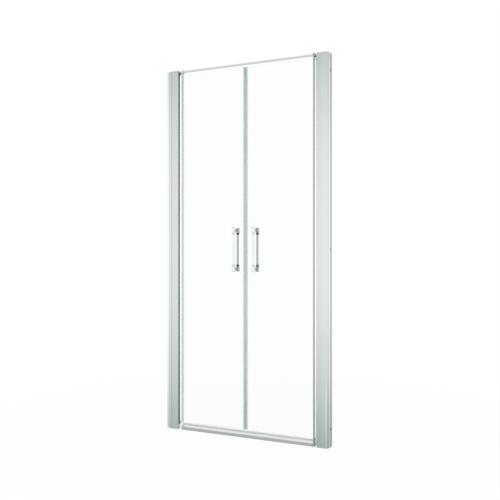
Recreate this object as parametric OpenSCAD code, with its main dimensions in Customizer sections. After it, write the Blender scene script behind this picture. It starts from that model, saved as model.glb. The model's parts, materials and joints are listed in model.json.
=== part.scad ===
// Double-swing shower door for a niche: two glass leaves on pivots between adjustable side frames.
// Millimetres. X runs along the door, +Y into the shower, +Z up.
// The origin is the middle of the sill's underside, in the plane of the glass.
// Every piece of a pair is drawn on the +X side and mirrored for the other side.

/* [Door] */
// Width from wall to wall
door_w = 905; // [760:5:1000]
// Height from the tray to the top of the side frames
door_h = 1900; // [1700:10:2100]

/* [Wall channels] */
// Depth of a wall channel, from outside to inside the shower
channel_d = 42; // [40:0.5:48]
// Width of a channel's flanges, out from the wall
channel_w = 26; // [25:0.5:32]
// Thickness of the flanges
channel_wall = 1.6; // [1.2:0.1:2.2]
// Thickness of the back that lies on the wall
channel_back = 2; // [1.5:0.1:3]
// How far a channel stops short of the side frame at each end
channel_short = 4; // [1:0.5:8]
// Width of the sloped band along the front flange's free edge
bevel_w = 11; // [6:0.5:14]
// How far the sloped band falls back at the free edge
bevel_drop = 0.6; // [0.2:0.1:0.8]
// Width of the shadow groove in the front flange
groove_w = 1.2; // [0.6:0.1:2]
// Depth of the shadow groove
groove_depth = 0.5; // [0.2:0.1:0.8]
// Distance of the shadow groove from the wall
groove_in = 9; // [6:0.5:10]
// Diameter of the wall-fixing holes
wall_hole_d = 9; // [6:0.5:10]
// Distance of the outer wall-fixing holes from the door's ends
wall_hole_inset = 91; // [60:1:140]

/* [Side frames] */
// Width of a side frame that shows beside its channel
side_face_w = 40; // [32:0.5:48]
// Thickness of the side frame's front, back and web
side_wall = 1.6; // [1.2:0.1:2.2]
// Thickness of the side frame's wall beside the leaf
side_nose = 2; // [1.5:0.1:3]
// Length of side frame inside the channel
tail_grip = 15; // [14.5:0.1:15.4]
// Gap between the side frame and the channel's flanges
channel_play = 0.35; // [0.2:0.05:0.5]
// Distance of the stiffening web from the leaf side
web_in = 26; // [20:0.5:30]
// Corner radius beside the leaf
side_corner_r = 1; // [0.5:0.1:1.5]
// Thickness of the cap on a side frame's top
cap_t = 3; // [2:0.5:4]
// Thickness of the cap's skirt inside the side frame
cap_skirt_t = 1.5; // [1:0.1:2.5]
// Depth of the cap's skirt
cap_skirt_h = 6; // [3:0.5:7]

/* [Width adjustment] */
// Travel of a channel to each side of its middle position
adjust_travel = 6; // [3:0.5:6]
// Diameter of the adjusting screws
adjust_screw_d = 4; // [3:0.5:4.5]
// Gap between an adjusting screw and its slot
slot_play = 0.2; // [0.1:0.05:0.4]
// Distance of an adjusting screw from the side frame's free edge
adjust_screw_in = 4; // [3.5:0.1:4.5]
// Distance of the outer adjusting screws from the door's ends
adjust_screw_inset = 150; // [120:5:250]
// Depth of an adjusting screw behind the channel's face
adjust_screw_reach = 8; // [5:0.5:12]
// Diameter of a screw cap
screw_cap_d = 11; // [10.5:0.5:13]
// Height of a screw cap
screw_cap_h = 4; // [3.5:0.5:6]

/* [Sill and top rail] */
// Height of the sill
sill_h = 15; // [12:0.5:20]
// Depth of the sill
sill_d = 30; // [26:0.5:36]
// Thickness of the sill's walls
sill_wall = 1.8; // [1.2:0.1:2.5]
// Width of the sill's hollow
sill_hollow_w = 12; // [8:0.5:12.5]
// Radius along the sill's upper edges
sill_edge_r = 1.5; // [0.5:0.1:2.5]
// Distance between a sill end's two screws
sill_screw_pitch = 18; // [17.5:0.5:19]
// Height of the top rail
rail_h = 8; // [6.5:0.5:12]
// Depth of the top rail
rail_d = 14; // [12:0.5:18]
// Thickness of the top rail's walls
rail_wall = 1.5; // [1:0.1:2]
// Distance of the top rail below the side frames' tops
rail_drop = 1; // [0.5:0.5:4]

/* [Pivots] */
// Gap between a side frame and the leaf's hinge stile
pivot_gap = 12; // [11:0.5:12.5]
// Distance of the pivot axis from the side frame
pivot_back = 8; // [7.7:0.1:8.5]
// Height of a lower pivot's seat above the sill
pivot_rise = 8; // [7.5:0.5:16]
// Thickness of the pivot plates
plate_t = 5; // [4.6:0.1:7]
// Half depth of the pivot plates
plate_half_d = 8; // [7.5:0.1:9]
// Diameter of the pivot pins
pin_d = 6; // [5:0.5:7]
// Diameter of the heads of the pivot pins
pin_head_d = 7.2; // [7.1:0.1:7.8]
// Thickness of the heads of the pivot pins
pin_head_t = 1.4; // [1:0.1:2]
// Gap between a pin and its bush, on the radius
pin_play = 0.05; // [0.02:0.01:0.08]
// Thickness of a bush's sleeve
bush_wall = 1.5; // [1:0.1:1.7]
// Thickness of a bush's flange
bush_flange_t = 1; // [0.6:0.1:1.5]
// Lift room between the upper bushes and the upper pivot plates
top_play = 3; // [1:0.5:6]
// Width of the foot that spaces a lower pivot block from the side frame
foot_w = 8; // [6:0.5:10]
// Height of that foot
foot_h = 8; // [5:0.5:9]
// Height of that foot above the tray
foot_up = 5; // [2:0.5:6]
// Depth of the upper pivot blocks beyond the rail, on each side
rail_cheek = 2; // [1:0.1:3]
// Thickness of the upper pivot blocks below the rail
rail_seat_t = 5; // [4.6:0.1:7]
// Thickness of the upper pivot blocks above the rail
rail_roof_t = 5; // [3:0.5:7]
// Length of rail inside a pivot block
rail_socket = 8; // [6:0.5:8.5]

/* [Screws] */
// Diameter of the frame screws
frame_screw_d = 3; // [2.5:0.1:3.2]
// Diameter of the frame screws' heads
frame_head_d = 6; // [5:0.1:6.4]
// Height of the frame screws' heads
frame_head_h = 1.8; // [1.2:0.1:2.4]
// Length of the frame screws
frame_screw_l = 22; // [16:1:30]
// Distance between a pivot plate's two screws
plate_screw_pitch = 11; // [10.5:0.1:11.5]

/* [Glass leaves] */
// Thickness of the glass
glass_t = 6; // [5:0.5:8]
// Width of the ground edge on the glass
arris = 0.8; // [0.3:0.1:1.2]
// Width of a hinge stile
stile_w = 10; // [9:0.5:14]
// Thickness of a hinge stile
stile_d = 12; // [11.4:0.1:12.6]
// Depth of the glass slot in a hinge stile
stile_slot = 7; // [6:0.1:7.2]
// Thickness of the gasket between stile and glass
gasket_t = 0.8; // [0.5:0.1:1]
// Corner radius of a hinge stile
stile_corner_r = 1; // [0.5:0.1:1.5]
// Height of glass that a hinge shoe grips
shoe_grip = 8; // [6:0.5:14]
// Thickness of a lower shoe under the glass
shoe_floor = 10; // [8:0.5:16]
// Thickness of an upper shoe over the glass
shoe_roof = 3; // [1:0.5:5]
// Height of a hinge shoe's eye
eye_h = 8; // [6:0.5:10]
// Thickness of the wall of a hinge shoe's eye
eye_wall = 2.2; // [1.5:0.1:2.3]
// Diameter of the shoe's clamp screws
clamp_screw_d = 4; // [3:0.5:5]

/* [Seals] */
// Gap between the two closing seals
closing_gap = 0.6; // [0.4:0.1:1.5]
// Width of a closing seal's magnet chamber
magnet_chamber_w = 6; // [5:0.1:8]
// Depth of a closing seal's magnet chamber
magnet_chamber_d = 10; // [9:0.5:12]
// Thickness of a closing seal's chamber wall
magnet_wall = 0.9; // [0.6:0.1:1.3]
// Thickness of the seals' clips
clip_t = 1.2; // [0.8:0.1:1.6]
// Length of glass that a closing seal's clip grips
clip_grip = 6.2; // [4:0.1:10]
// Height of glass that a drip seal's clip grips
drip_grip = 6; // [4:0.5:10]
// Gap between the drip seals' wipers and the sill
drip_gap = 0.4; // [0.3:0.1:1]
// Thickness of a drip seal's fins
fin_t = 1.2; // [0.8:0.1:1.6]
// Reach of a drip seal's side fins
fin_reach = 7; // [5:0.5:8]
// Fall of a drip seal's side fins
fin_fall = 9; // [6:0.5:9.5]
// Distance of the drip seals from the middle of the door
drip_end_gap = 1; // [0.6:0.1:3]
// Distance of the drip seals from the hinge shoes
drip_shoe_gap = 3; // [2.5:0.5:8]
// Gap between a hinge seal and its side frame
hinge_seal_gap = 0.4; // [0.3:0.05:0.6]
// Thickness of a hinge seal
hinge_seal_t = 1; // [0.6:0.1:1.4]

/* [Handles] */
// Height of the middle of the handles
handle_z = 952; // [800:1:1100]
// Distance of the handles from the middle of the door
handle_x = 55.5; // [35:0.5:90]
// Length of a grip
grip_l = 225; // [180:1:400]
// Distance of a grip's middle from the middle of the glass
grip_out = 26; // [24:0.5:40]
// Diameter of a grip's bar
bar_d = 11; // [8:0.5:13]
// Diameter of a grip's ends
grip_end_d = 18; // [15:0.5:22]
// Length of a grip's ends
grip_end_l = 28; // [24:0.5:36]
// Length of the taper from an end to the bar
grip_taper = 9; // [3:0.5:14]
// Chamfer on a grip's end faces
grip_chamfer = 1; // [0.4:0.1:1.8]
// Diameter of the posts between grip and glass
post_d = 11; // [9:0.5:13]
// Depth of a post inside the grip's end
post_bite = 4; // [3.5:0.5:7]
// Diameter of the threaded studs through the glass
stud_d = 6; // [4:0.5:6.5]
// Depth of a stud inside a post
stud_bite = 10; // [5:0.5:12]
// Diameter of the holes in the glass
glass_hole_d = 12; // [9:0.5:14]
// Diameter of the clear washers on the glass
washer_d = 16; // [14.5:0.5:20]
// Thickness of the clear washers
washer_t = 1; // [0.5:0.1:2]
// Diameter of the grub screws
grub_d = 4; // [3:0.5:5]
// Length of the grub screws
grub_l = 6; // [4:0.5:7]

/* [Hidden] */
$fn = 64;

// Length added to a cutting shape so that it passes its face
over = 1;
// Sockets in screw heads
socket_share = 0.5;
socket_depth = 1;

// Along X, from the wall inwards
wall_x = door_w / 2;
channel_in = wall_x - channel_w;
side_in = channel_in - side_face_w;
side_half_d = channel_d / 2 - channel_wall - channel_play;
tail_x = channel_in + tail_grip;
web_x = side_in + web_in;
axis_x = side_in - pivot_back;
stile_out = side_in - pivot_gap;
stile_in = stile_out - stile_w;
slot_x = stile_in + stile_slot;
glass_hinge_x = slot_x - gasket_t;
closing_x = closing_gap / 2;
glass_free_x = closing_x + magnet_chamber_w;
drip_in = drip_end_gap;
drip_out = stile_in - drip_shoe_gap;
adjust_x = tail_x - adjust_screw_in;

// Up the door
side_top = door_h - cap_t;
plate_top = sill_h + pivot_rise;
lower_shoe_z = plate_top + bush_flange_t;
glass_bottom = lower_shoe_z + shoe_floor;
rail_top = door_h - rail_drop;
rail_bottom = rail_top - rail_h;
upper_plate_z = rail_bottom - rail_seat_t;
block_top = rail_top + rail_roof_t;
upper_shoe_z = upper_plate_z - top_play - bush_flange_t;
glass_top = upper_shoe_z - shoe_roof;
stile_bottom = glass_bottom + shoe_grip;
stile_top = glass_top - shoe_grip;

// Sections
pin_r = pin_d / 2;
bush_bore_r = pin_r + pin_play;
bush_r = bush_bore_r + bush_wall;
eye_r = bush_r + eye_wall;
hinge_seal_r = pivot_back - hinge_seal_gap;
t_neck = 1.6;
t_head = 3.2;
t_neck_depth = 0.8;
t_head_depth = 1;
wall_holes_z = [wall_hole_inset, door_h / 2, door_h - wall_hole_inset];
adjust_screws_z = [adjust_screw_inset, door_h / 2, door_h - adjust_screw_inset];
adjust_head_d = 2 * adjust_screw_d;
adjust_head_h = screw_cap_h / 2;
frame_holes_play = 0.1;
head_room = 0.5;
access_hole_d = frame_head_d + 2 * head_room;
lower_screws_z = plate_top - plate_t / 2;
upper_screws_z = upper_plate_z + plate_t / 2;
clamp_x = stile_in + (glass_hinge_x - stile_in) / 2;
lower_clamp_z = glass_bottom + shoe_grip / 2;
upper_clamp_z = glass_top - shoe_grip / 2;

// Handles, outside the glass
post_z = grip_l / 2 - grip_end_l / 2;
posts_z = [handle_z - post_z, handle_z + post_z];
post_face_y = -glass_t / 2 - washer_t;
post_end_y = -grip_out + grip_end_d / 2 - post_bite;
grub_z = post_z + post_d / 2;
washer_seam = 0.1;

aluminium = "silver";
steel = "gainsboro";
dark_plastic = "dimgray";
clear_plastic = [0.85, 0.95, 0.93, 0.6];

// Copies its child to the door's left side
module on_left() mirror([1, 0, 0]) children();

// Draws its child on both sides of the door
module both_sides() {
    children();
    on_left() children();
}

// Draws its child outside and inside the glass
module both_faces() {
    children();
    mirror([0, 1, 0]) children();
}

// Raises an XY section from height z0 to z1
module upright(z0, z1) translate([0, 0, z0]) linear_extrude(z1 - z0) children();

// Runs a YZ section along the door from x0 to x1
module lengthwise(x0, x1) translate([x0, 0, 0]) rotate([90, 0, 90]) linear_extrude(x1 - x0) children();

// Box between two corners
module block(low, high) translate(low) cube(high - low);

// Round bar along +Y from y0 to y1, at x and z
module bar_y(x, z, y0, y1, r) translate([x, y0, z]) rotate([-90, 0, 0]) cylinder(h = y1 - y0, r = r);

// Round bar along +X from x0 to x1, at y and z
module bar_x(y, z, x0, x1, r) translate([x0, y, z]) rotate([0, 90, 0]) cylinder(h = x1 - x0, r = r);

// Rectangle from low to high with all four corners rounded
module rounded(low, high, r) {
    translate([low[0] + r, low[1]]) square([high[0] - low[0] - 2 * r, high[1] - low[1]]);
    translate([low[0], low[1] + r]) square([high[0] - low[0], high[1] - low[1] - 2 * r]);
    for (x = [low[0] + r, high[0] - r], y = [low[1] + r, high[1] - r]) translate([x, y]) circle(r);
}

// Screw along +Z, its head's seat at z = 0, with a hexagon socket in the head
module screw(shank_d, head_d, head_h, length) {
    difference() {
        union() {
            cylinder(h = head_h, d = head_d);
            translate([0, 0, -length]) cylinder(h = length, d = shank_d);
        }
        translate([0, 0, head_h - socket_depth])
            cylinder(h = socket_depth + over, d = head_d * socket_share, $fn = 6);
    }
}

module wall_channel_section() {
    half = channel_d / 2;
    groove_x = wall_x - groove_in;
    front = [
        [wall_x, -half],
        [groove_x + groove_w, -half],
        [groove_x + groove_w / 2, -half + groove_depth],
        [groove_x, -half],
        [channel_in + bevel_w, -half],
        [channel_in, -half + bevel_drop]];
    inside = [
        [channel_in, -half + channel_wall],
        [wall_x - channel_back, -half + channel_wall],
        [wall_x - channel_back, half - channel_wall],
        [channel_in, half - channel_wall],
        [channel_in, half],
        [wall_x, half]];
    polygon(concat(front, inside));
}

module wall_channel() {
    slot_r = adjust_screw_d / 2 + slot_play;
    color(aluminium) difference() {
        upright(channel_short, door_h - channel_short) wall_channel_section();
        for (z = wall_holes_z) bar_x(0, z, wall_x - channel_back - over, wall_x + over, wall_hole_d / 2);
        for (z = adjust_screws_z) {
            y0 = channel_d / 2 - channel_wall - over / 2;
            y1 = channel_d / 2 + over;
            for (x = [-adjust_travel, adjust_travel]) bar_y(adjust_x + x, z, y0, y1, slot_r);
            block([adjust_x - adjust_travel, y0, z - slot_r], [adjust_x + adjust_travel, y1, z + slot_r]);
        }
    }
}

// Outline of a side frame, rounded only beside the leaf
module side_frame_outline() {
    rounded([side_in, -side_half_d], [channel_in, side_half_d], side_corner_r);
    translate([web_x, -side_half_d]) square([tail_x - web_x, 2 * side_half_d]);
}

module side_frame_section() {
    difference() {
        side_frame_outline();
        translate([side_in + side_nose, -side_half_d + side_wall])
            square([web_in - side_nose, 2 * (side_half_d - side_wall)]);
        translate([web_x + side_wall, -side_half_d + side_wall])
            square([tail_x - web_x, 2 * (side_half_d - side_wall)]);
    }
}

module side_frame() {
    screw_r = frame_screw_d / 2 + frame_holes_play;
    color(aluminium) difference() {
        upright(0, side_top) side_frame_section();
        for (y = [-1, 1] * plate_screw_pitch / 2, z = [lower_screws_z, upper_screws_z]) {
            bar_x(y, z, side_in - over, side_in + side_nose + over, screw_r);
            bar_x(y, z, web_x - over, web_x + side_wall + over, access_hole_d / 2);
        }
        for (z = adjust_screws_z)
            bar_y(adjust_x, z, side_half_d - side_wall - over, side_half_d + over, adjust_screw_d / 2);
    }
}

module frame_cap() {
    half = side_half_d - side_wall;
    skirt_x = side_in + side_nose + frame_head_h + head_room;
    color(dark_plastic) {
        upright(side_top, door_h) side_frame_outline();
        upright(side_top - cap_skirt_h, side_top) difference() {
            translate([skirt_x, -half]) square([web_x - skirt_x, 2 * half]);
            translate([skirt_x + cap_skirt_t, -half + cap_skirt_t])
                square([web_x - skirt_x - 2 * cap_skirt_t, 2 * (half - cap_skirt_t)]);
        }
    }
}

// Places its child on every adjusting screw, +Z pointing out of the channel's inner flange
module at_adjusting_screws()
    for (z = adjust_screws_z) translate([adjust_x, channel_d / 2, z]) rotate([-90, 0, 0]) children();

module adjusting_screws() {
    color(steel) at_adjusting_screws()
        screw(adjust_screw_d, adjust_head_d, adjust_head_h, adjust_screw_reach);
}

module screw_caps() {
    rim_r = screw_cap_d / 2;
    color(dark_plastic) at_adjusting_screws() difference() {
        rotate_extrude() intersection() {
            rounded([-rim_r, -screw_cap_h], [rim_r, screw_cap_h], screw_cap_h - adjust_head_h);
            square([rim_r, screw_cap_h]);
        }
        translate([0, 0, -over]) cylinder(h = adjust_head_h + over, d = adjust_head_d);
    }
}

module sill_section() {
    half = sill_d / 2;
    difference() {
        union() {
            translate([-half, 0]) square([sill_d, sill_h - sill_edge_r]);
            translate([-half + sill_edge_r, 0]) square([sill_d - 2 * sill_edge_r, sill_h]);
            for (y = [-1, 1] * (half - sill_edge_r)) translate([y, sill_h - sill_edge_r]) circle(sill_edge_r);
        }
        children();
    }
}

module sill() {
    color(aluminium) lengthwise(-stile_in, stile_in) sill_section() {
        union() {
            translate([-sill_hollow_w / 2, sill_wall])
                square([sill_hollow_w, sill_h - 2 * sill_wall]);
            for (y = [-1, 1] * sill_screw_pitch / 2) translate([y, sill_h / 2]) circle(frame_screw_d / 2);
        }
    }
}

module rail_section() translate([-rail_d / 2, rail_bottom]) square([rail_d, rail_h]);

module top_rail() {
    end_x = stile_in + rail_socket;
    color(aluminium) difference() {
        lengthwise(-end_x, end_x) difference() {
            rail_section();
            translate([-rail_d / 2 + rail_wall, rail_bottom + rail_wall])
                square([rail_d - 2 * rail_wall, rail_h - 2 * rail_wall]);
        }
        both_sides() translate([stile_in + rail_socket / 2, 0, rail_bottom - over])
            cylinder(h = rail_h + 2 * over, d = frame_screw_d);
    }
}

module lower_pivot_block() {
    color(dark_plastic) difference() {
        union() {
            lengthwise(stile_in, stile_out) sill_section();
            block([stile_in, -plate_half_d, sill_h / 2], [stile_out, plate_half_d, plate_top]);
            block([stile_in, -plate_half_d, plate_top - plate_t], [side_in, plate_half_d, plate_top]);
            block([stile_in, -foot_w / 2, foot_up], [side_in, foot_w / 2, foot_up + foot_h]);
        }
        translate([axis_x, 0, plate_top - plate_t - over]) cylinder(h = plate_t + 2 * over, r = pin_r);
        translate([axis_x, 0, plate_top - plate_t - pin_head_t]) cylinder(h = pin_head_t, d = pin_head_d);
        for (y = [-1, 1] * plate_screw_pitch / 2)
            bar_x(y, lower_screws_z, stile_out, side_in + over, frame_screw_d / 2);
        for (y = [-1, 1] * sill_screw_pitch / 2)
            bar_x(y, sill_h / 2, stile_in - over, stile_out + over, frame_screw_d / 2);
    }
}

module upper_pivot_block() {
    half = rail_d / 2 + rail_cheek;
    color(dark_plastic) difference() {
        union() {
            block([stile_in, -half, upper_plate_z], [stile_out, half, block_top]);
            block([stile_in, -plate_half_d, upper_plate_z], [side_in, plate_half_d, upper_plate_z + plate_t]);
        }
        lengthwise(stile_in - over, stile_in + rail_socket) rail_section();
        translate([axis_x, 0, upper_plate_z - over]) cylinder(h = plate_t + 2 * over, r = pin_r);
        translate([axis_x, 0, upper_plate_z + plate_t]) cylinder(h = pin_head_t, d = pin_head_d);
        translate([stile_in + rail_socket / 2, 0, rail_top - over])
            cylinder(h = rail_roof_t + 2 * over, d = frame_screw_d);
        for (y = [-1, 1] * plate_screw_pitch / 2)
            bar_x(y, upper_screws_z, stile_out, side_in + over, frame_screw_d / 2);
    }
}

module pivot_pins() {
    color(steel) {
        translate([axis_x, 0, plate_top - plate_t])
            cylinder(h = plate_t + bush_flange_t + eye_h, r = pin_r);
        translate([axis_x, 0, plate_top - plate_t - pin_head_t]) cylinder(h = pin_head_t, d = pin_head_d);
        translate([axis_x, 0, upper_shoe_z - eye_h])
            cylinder(h = upper_plate_z + plate_t - upper_shoe_z + eye_h, r = pin_r);
        translate([axis_x, 0, upper_plate_z + plate_t]) cylinder(h = pin_head_t, d = pin_head_d);
    }
}

module pivot_block_screws() {
    color(steel) both_sides()
        for (y = [-1, 1] * plate_screw_pitch / 2, z = [lower_screws_z, upper_screws_z])
            translate([side_in + side_nose, y, z]) rotate([0, 90, 0])
                screw(frame_screw_d, frame_head_d, frame_head_h, side_nose + pivot_gap);
}

module sill_screws() {
    color(steel) both_sides() for (y = [-1, 1] * sill_screw_pitch / 2)
        translate([stile_out, y, sill_h / 2]) rotate([0, 90, 0])
            screw(frame_screw_d, frame_head_d, frame_head_h, frame_screw_l);
}

module rail_screws() {
    color(steel) both_sides() translate([stile_in + rail_socket / 2, 0, block_top])
        screw(frame_screw_d, frame_head_d, frame_head_h, block_top - rail_bottom);
}

module glass() {
    half = glass_t / 2;
    color([0.9, 0.97, 0.95, 0.35]) difference() {
        lengthwise(glass_free_x, glass_hinge_x) polygon([
            [-half + arris, glass_bottom], [half - arris, glass_bottom],
            [half, glass_bottom + arris], [half, glass_top - arris],
            [half - arris, glass_top], [-half + arris, glass_top],
            [-half, glass_top - arris], [-half, glass_bottom + arris]]);
        for (z = posts_z) bar_y(handle_x, z, -half - over, half + over, glass_hole_d / 2);
    }
}

module t_root(tip_x) {
    translate([tip_x - t_neck_depth, -t_neck / 2]) square([t_neck_depth, t_neck]);
    translate([tip_x - t_neck_depth - t_head_depth, -t_head / 2]) square([t_head_depth, t_head]);
}

module hinge_stile() {
    color(aluminium) upright(stile_bottom, stile_top) difference() {
        rounded([stile_in, -stile_d / 2], [stile_out, stile_d / 2], stile_corner_r);
        translate([stile_in - over, -glass_t / 2 - gasket_t])
            square([stile_slot + over, glass_t + 2 * gasket_t]);
        t_root(stile_out);
        translate([stile_out - t_neck_depth, -t_neck / 2]) square([t_neck_depth + over, t_neck]);
    }
}

module stile_gasket() {
    color(dark_plastic) upright(stile_bottom, stile_top) difference() {
        translate([stile_in, -glass_t / 2 - gasket_t]) square([stile_slot, glass_t + 2 * gasket_t]);
        translate([stile_in - over, -glass_t / 2]) square([stile_slot - gasket_t + over, glass_t]);
    }
}

// Hinge shoe between two heights, with its eye from eye_z upwards and glass from glass_z0 to glass_z1
module shoe(z0, z1, eye_z, glass_z0, glass_z1, screw_z) {
    color(aluminium) difference() {
        union() {
            block([stile_in, -stile_d / 2, z0], [stile_out, stile_d / 2, z1]);
            block([stile_in, -stile_d / 2, eye_z], [axis_x - bush_r, stile_d / 2, eye_z + eye_h]);
            translate([axis_x, 0, eye_z]) cylinder(h = eye_h, r = eye_r);
        }
        block([stile_in - over, -glass_t / 2, glass_z0], [glass_hinge_x, glass_t / 2, glass_z1]);
        translate([axis_x, 0, eye_z - over]) cylinder(h = eye_h + 2 * over, r = bush_r);
        bar_y(clamp_x, screw_z, 0, stile_d / 2 + over, clamp_screw_d / 2);
    }
}

module lower_shoe()
    shoe(lower_shoe_z, stile_bottom, lower_shoe_z, glass_bottom, stile_bottom + over, lower_clamp_z);

module upper_shoe()
    shoe(stile_top, upper_shoe_z, upper_shoe_z - eye_h, stile_top - over, glass_top, upper_clamp_z);

module bush(flange_z, sleeve_z) {
    flange_r = (bush_r + eye_r) / 2;
    translate([axis_x, 0, 0]) difference() {
        union() {
            translate([0, 0, flange_z]) cylinder(h = bush_flange_t, r = flange_r);
            translate([0, 0, sleeve_z]) cylinder(h = eye_h, r = bush_r);
        }
        translate([0, 0, min(flange_z, sleeve_z) - over])
            cylinder(h = eye_h + bush_flange_t + 2 * over, r = bush_bore_r);
    }
}

module hinge_bushes() {
    color("white") {
        bush(plate_top, lower_shoe_z);
        bush(upper_shoe_z, upper_shoe_z - eye_h);
    }
}

module clamp_screws() {
    color(steel) for (z = [lower_clamp_z, upper_clamp_z]) difference() {
        bar_y(clamp_x, z, glass_t / 2, stile_d / 2, clamp_screw_d / 2);
        translate([clamp_x, stile_d / 2 - socket_depth, z]) rotate([-90, 0, 0])
            cylinder(h = socket_depth + over, d = clamp_screw_d * socket_share, $fn = 6);
    }
}

module hinge_seal() {
    color(clear_plastic) upright(stile_bottom, stile_top) {
        intersection() {
            translate([axis_x, 0]) difference() {
                circle(hinge_seal_r);
                circle(hinge_seal_r - hinge_seal_t);
            }
            translate([stile_out, -hinge_seal_r]) square(2 * hinge_seal_r);
        }
        intersection() {
            translate([axis_x, 0]) circle(hinge_seal_r);
            translate([stile_out, -hinge_seal_r]) square([hinge_seal_t, 2 * hinge_seal_r]);
        }
        t_root(stile_out);
    }
}

module closing_seal() {
    clip_half = glass_t / 2 + clip_t;
    color(clear_plastic) upright(glass_bottom + drip_grip, glass_top) difference() {
        union() {
            rounded([closing_x, -magnet_chamber_d / 2], [glass_free_x, magnet_chamber_d / 2], magnet_wall);
            translate([glass_free_x - magnet_wall, -clip_half])
                square([clip_grip + magnet_wall, 2 * clip_half]);
        }
        magnet_section();
        translate([glass_free_x, -glass_t / 2]) square([clip_grip + over, glass_t]);
    }
}

module magnet_section()
    translate([closing_x + magnet_wall, -magnet_chamber_d / 2 + magnet_wall])
        square([magnet_chamber_w - 2 * magnet_wall, magnet_chamber_d - 2 * magnet_wall]);

module magnet_strip() color("black") upright(glass_bottom + drip_grip, glass_top) magnet_section();

module drip_seal() {
    half = glass_t / 2;
    floor_z = glass_bottom - clip_t;
    clip_top = glass_bottom + drip_grip;
    fin_z = floor_z - fin_fall;
    inner_side = [
        [half, glass_bottom], [half, clip_top], [half + clip_t, clip_top],
        [half + clip_t, floor_z], [fin_reach, fin_z], [fin_reach - fin_t, fin_z], [half, floor_z],
        [fin_t / 2, floor_z], [fin_t / 2, sill_h + drip_gap]];
    outer_side = [for (i = [len(inner_side) - 1:-1:0]) [-inner_side[i][0], inner_side[i][1]]];
    color(clear_plastic) lengthwise(drip_in, drip_out) polygon(concat(inner_side, outer_side));
}

// Outer grip, turned about its own axis, with bores for its posts and its grub screws
module grip() {
    half = grip_l / 2;
    end_r = grip_end_d / 2;
    bar_r = bar_d / 2;
    body = half - grip_end_l;
    color(aluminium) difference() {
        translate([handle_x, -grip_out, handle_z]) rotate_extrude() polygon([
            [0, -half], [end_r - grip_chamfer, -half], [end_r, -half + grip_chamfer],
            [end_r, -body], [bar_r, -body + grip_taper], [bar_r, body - grip_taper],
            [end_r, body], [end_r, half - grip_chamfer], [end_r - grip_chamfer, half], [0, half]]);
        for (z = posts_z) bar_y(handle_x, z, post_end_y, 0, post_d / 2);
        at_grip_ends() cylinder(h = half - grub_z + over, d = grub_d);
    }
}

// Places its child at both ends of the outer grip's axis, where its posts stop, +Z pointing out
module at_grip_ends()
    translate([handle_x, -grip_out, handle_z])
        for (end = [0, 1]) mirror([0, 0, end]) translate([0, 0, grub_z]) children();

module outer_grip() grip();

module inner_grip() mirror([0, 1, 0]) grip();

module handle_posts() {
    color(aluminium) both_faces() for (z = posts_z) difference() {
        bar_y(handle_x, z, post_end_y, post_face_y, post_d / 2);
        bar_y(handle_x, z, post_face_y - stud_bite, post_face_y + over, stud_d / 2);
    }
}

module handle_studs() {
    color(steel) for (z = posts_z)
        bar_y(handle_x, z, post_face_y - stud_bite, -post_face_y + stud_bite, stud_d / 2);
}

module glass_washers() {
    color(clear_plastic) both_faces() for (z = posts_z) difference() {
        union() {
            bar_y(handle_x, z, post_face_y, -glass_t / 2, washer_d / 2);
            bar_y(handle_x, z, -glass_t / 2, -washer_seam, glass_hole_d / 2);
        }
        bar_y(handle_x, z, post_face_y - over, over, stud_d / 2);
    }
}

module grub_screws() {
    color(steel) both_faces() at_grip_ends() difference() {
        cylinder(h = grub_l, d = grub_d);
        translate([0, 0, grub_l - socket_depth])
            cylinder(h = socket_depth + over, d = grub_d * socket_share, $fn = 6);
    }
}

on_left() wall_channel();  // left_wall_channel
wall_channel();  // right_wall_channel
on_left() side_frame();  // left_side_frame
side_frame();  // right_side_frame
on_left() frame_cap();  // left_frame_cap
frame_cap();  // right_frame_cap
on_left() adjusting_screws();  // left_adjusting_screws
adjusting_screws();  // right_adjusting_screws
on_left() screw_caps();  // left_screw_caps
screw_caps();  // right_screw_caps
sill();
top_rail();
on_left() lower_pivot_block();  // left_lower_pivot_block
lower_pivot_block();  // right_lower_pivot_block
on_left() upper_pivot_block();  // left_upper_pivot_block
upper_pivot_block();  // right_upper_pivot_block
on_left() pivot_pins();  // left_pivot_pins
pivot_pins();  // right_pivot_pins
pivot_block_screws();
sill_screws();
rail_screws();
on_left() glass();  // left_glass
glass();  // right_glass
on_left() hinge_stile();  // left_hinge_stile
hinge_stile();  // right_hinge_stile
on_left() stile_gasket();  // left_stile_gasket
stile_gasket();  // right_stile_gasket
on_left() lower_shoe();  // left_lower_shoe
lower_shoe();  // right_lower_shoe
on_left() upper_shoe();  // left_upper_shoe
upper_shoe();  // right_upper_shoe
on_left() hinge_bushes();  // left_hinge_bushes
hinge_bushes();  // right_hinge_bushes
on_left() clamp_screws();  // left_clamp_screws
clamp_screws();  // right_clamp_screws
on_left() hinge_seal();  // left_hinge_seal
hinge_seal();  // right_hinge_seal
on_left() closing_seal();  // left_closing_seal
closing_seal();  // right_closing_seal
on_left() magnet_strip();  // left_magnet_strip
magnet_strip();  // right_magnet_strip
on_left() drip_seal();  // left_drip_seal
drip_seal();  // right_drip_seal
on_left() outer_grip();  // left_outer_grip
outer_grip();  // right_outer_grip
on_left() inner_grip();  // left_inner_grip
inner_grip();  // right_inner_grip
on_left() handle_posts();  // left_handle_posts
handle_posts();  // right_handle_posts
on_left() handle_studs();  // left_handle_studs
handle_studs();  // right_handle_studs
on_left() glass_washers();  // left_glass_washers
glass_washers();  // right_glass_washers
on_left() grub_screws();  // left_grub_screws
grub_screws();  // right_grub_screws
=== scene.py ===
"""Looks of a saloon-style shower door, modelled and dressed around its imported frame.

Every piece is made at its real size and place, in metres: +X runs along the door, +Y into the
shower, +Z up, and the closed glass lies in the plane y = 0. The pieces of a pair are shaped on the
right side and mirrored for the left one.
"""

import json
import logging
import math
from collections.abc import Iterable, Sequence
from dataclasses import dataclass, field
from enum import Enum

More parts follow.
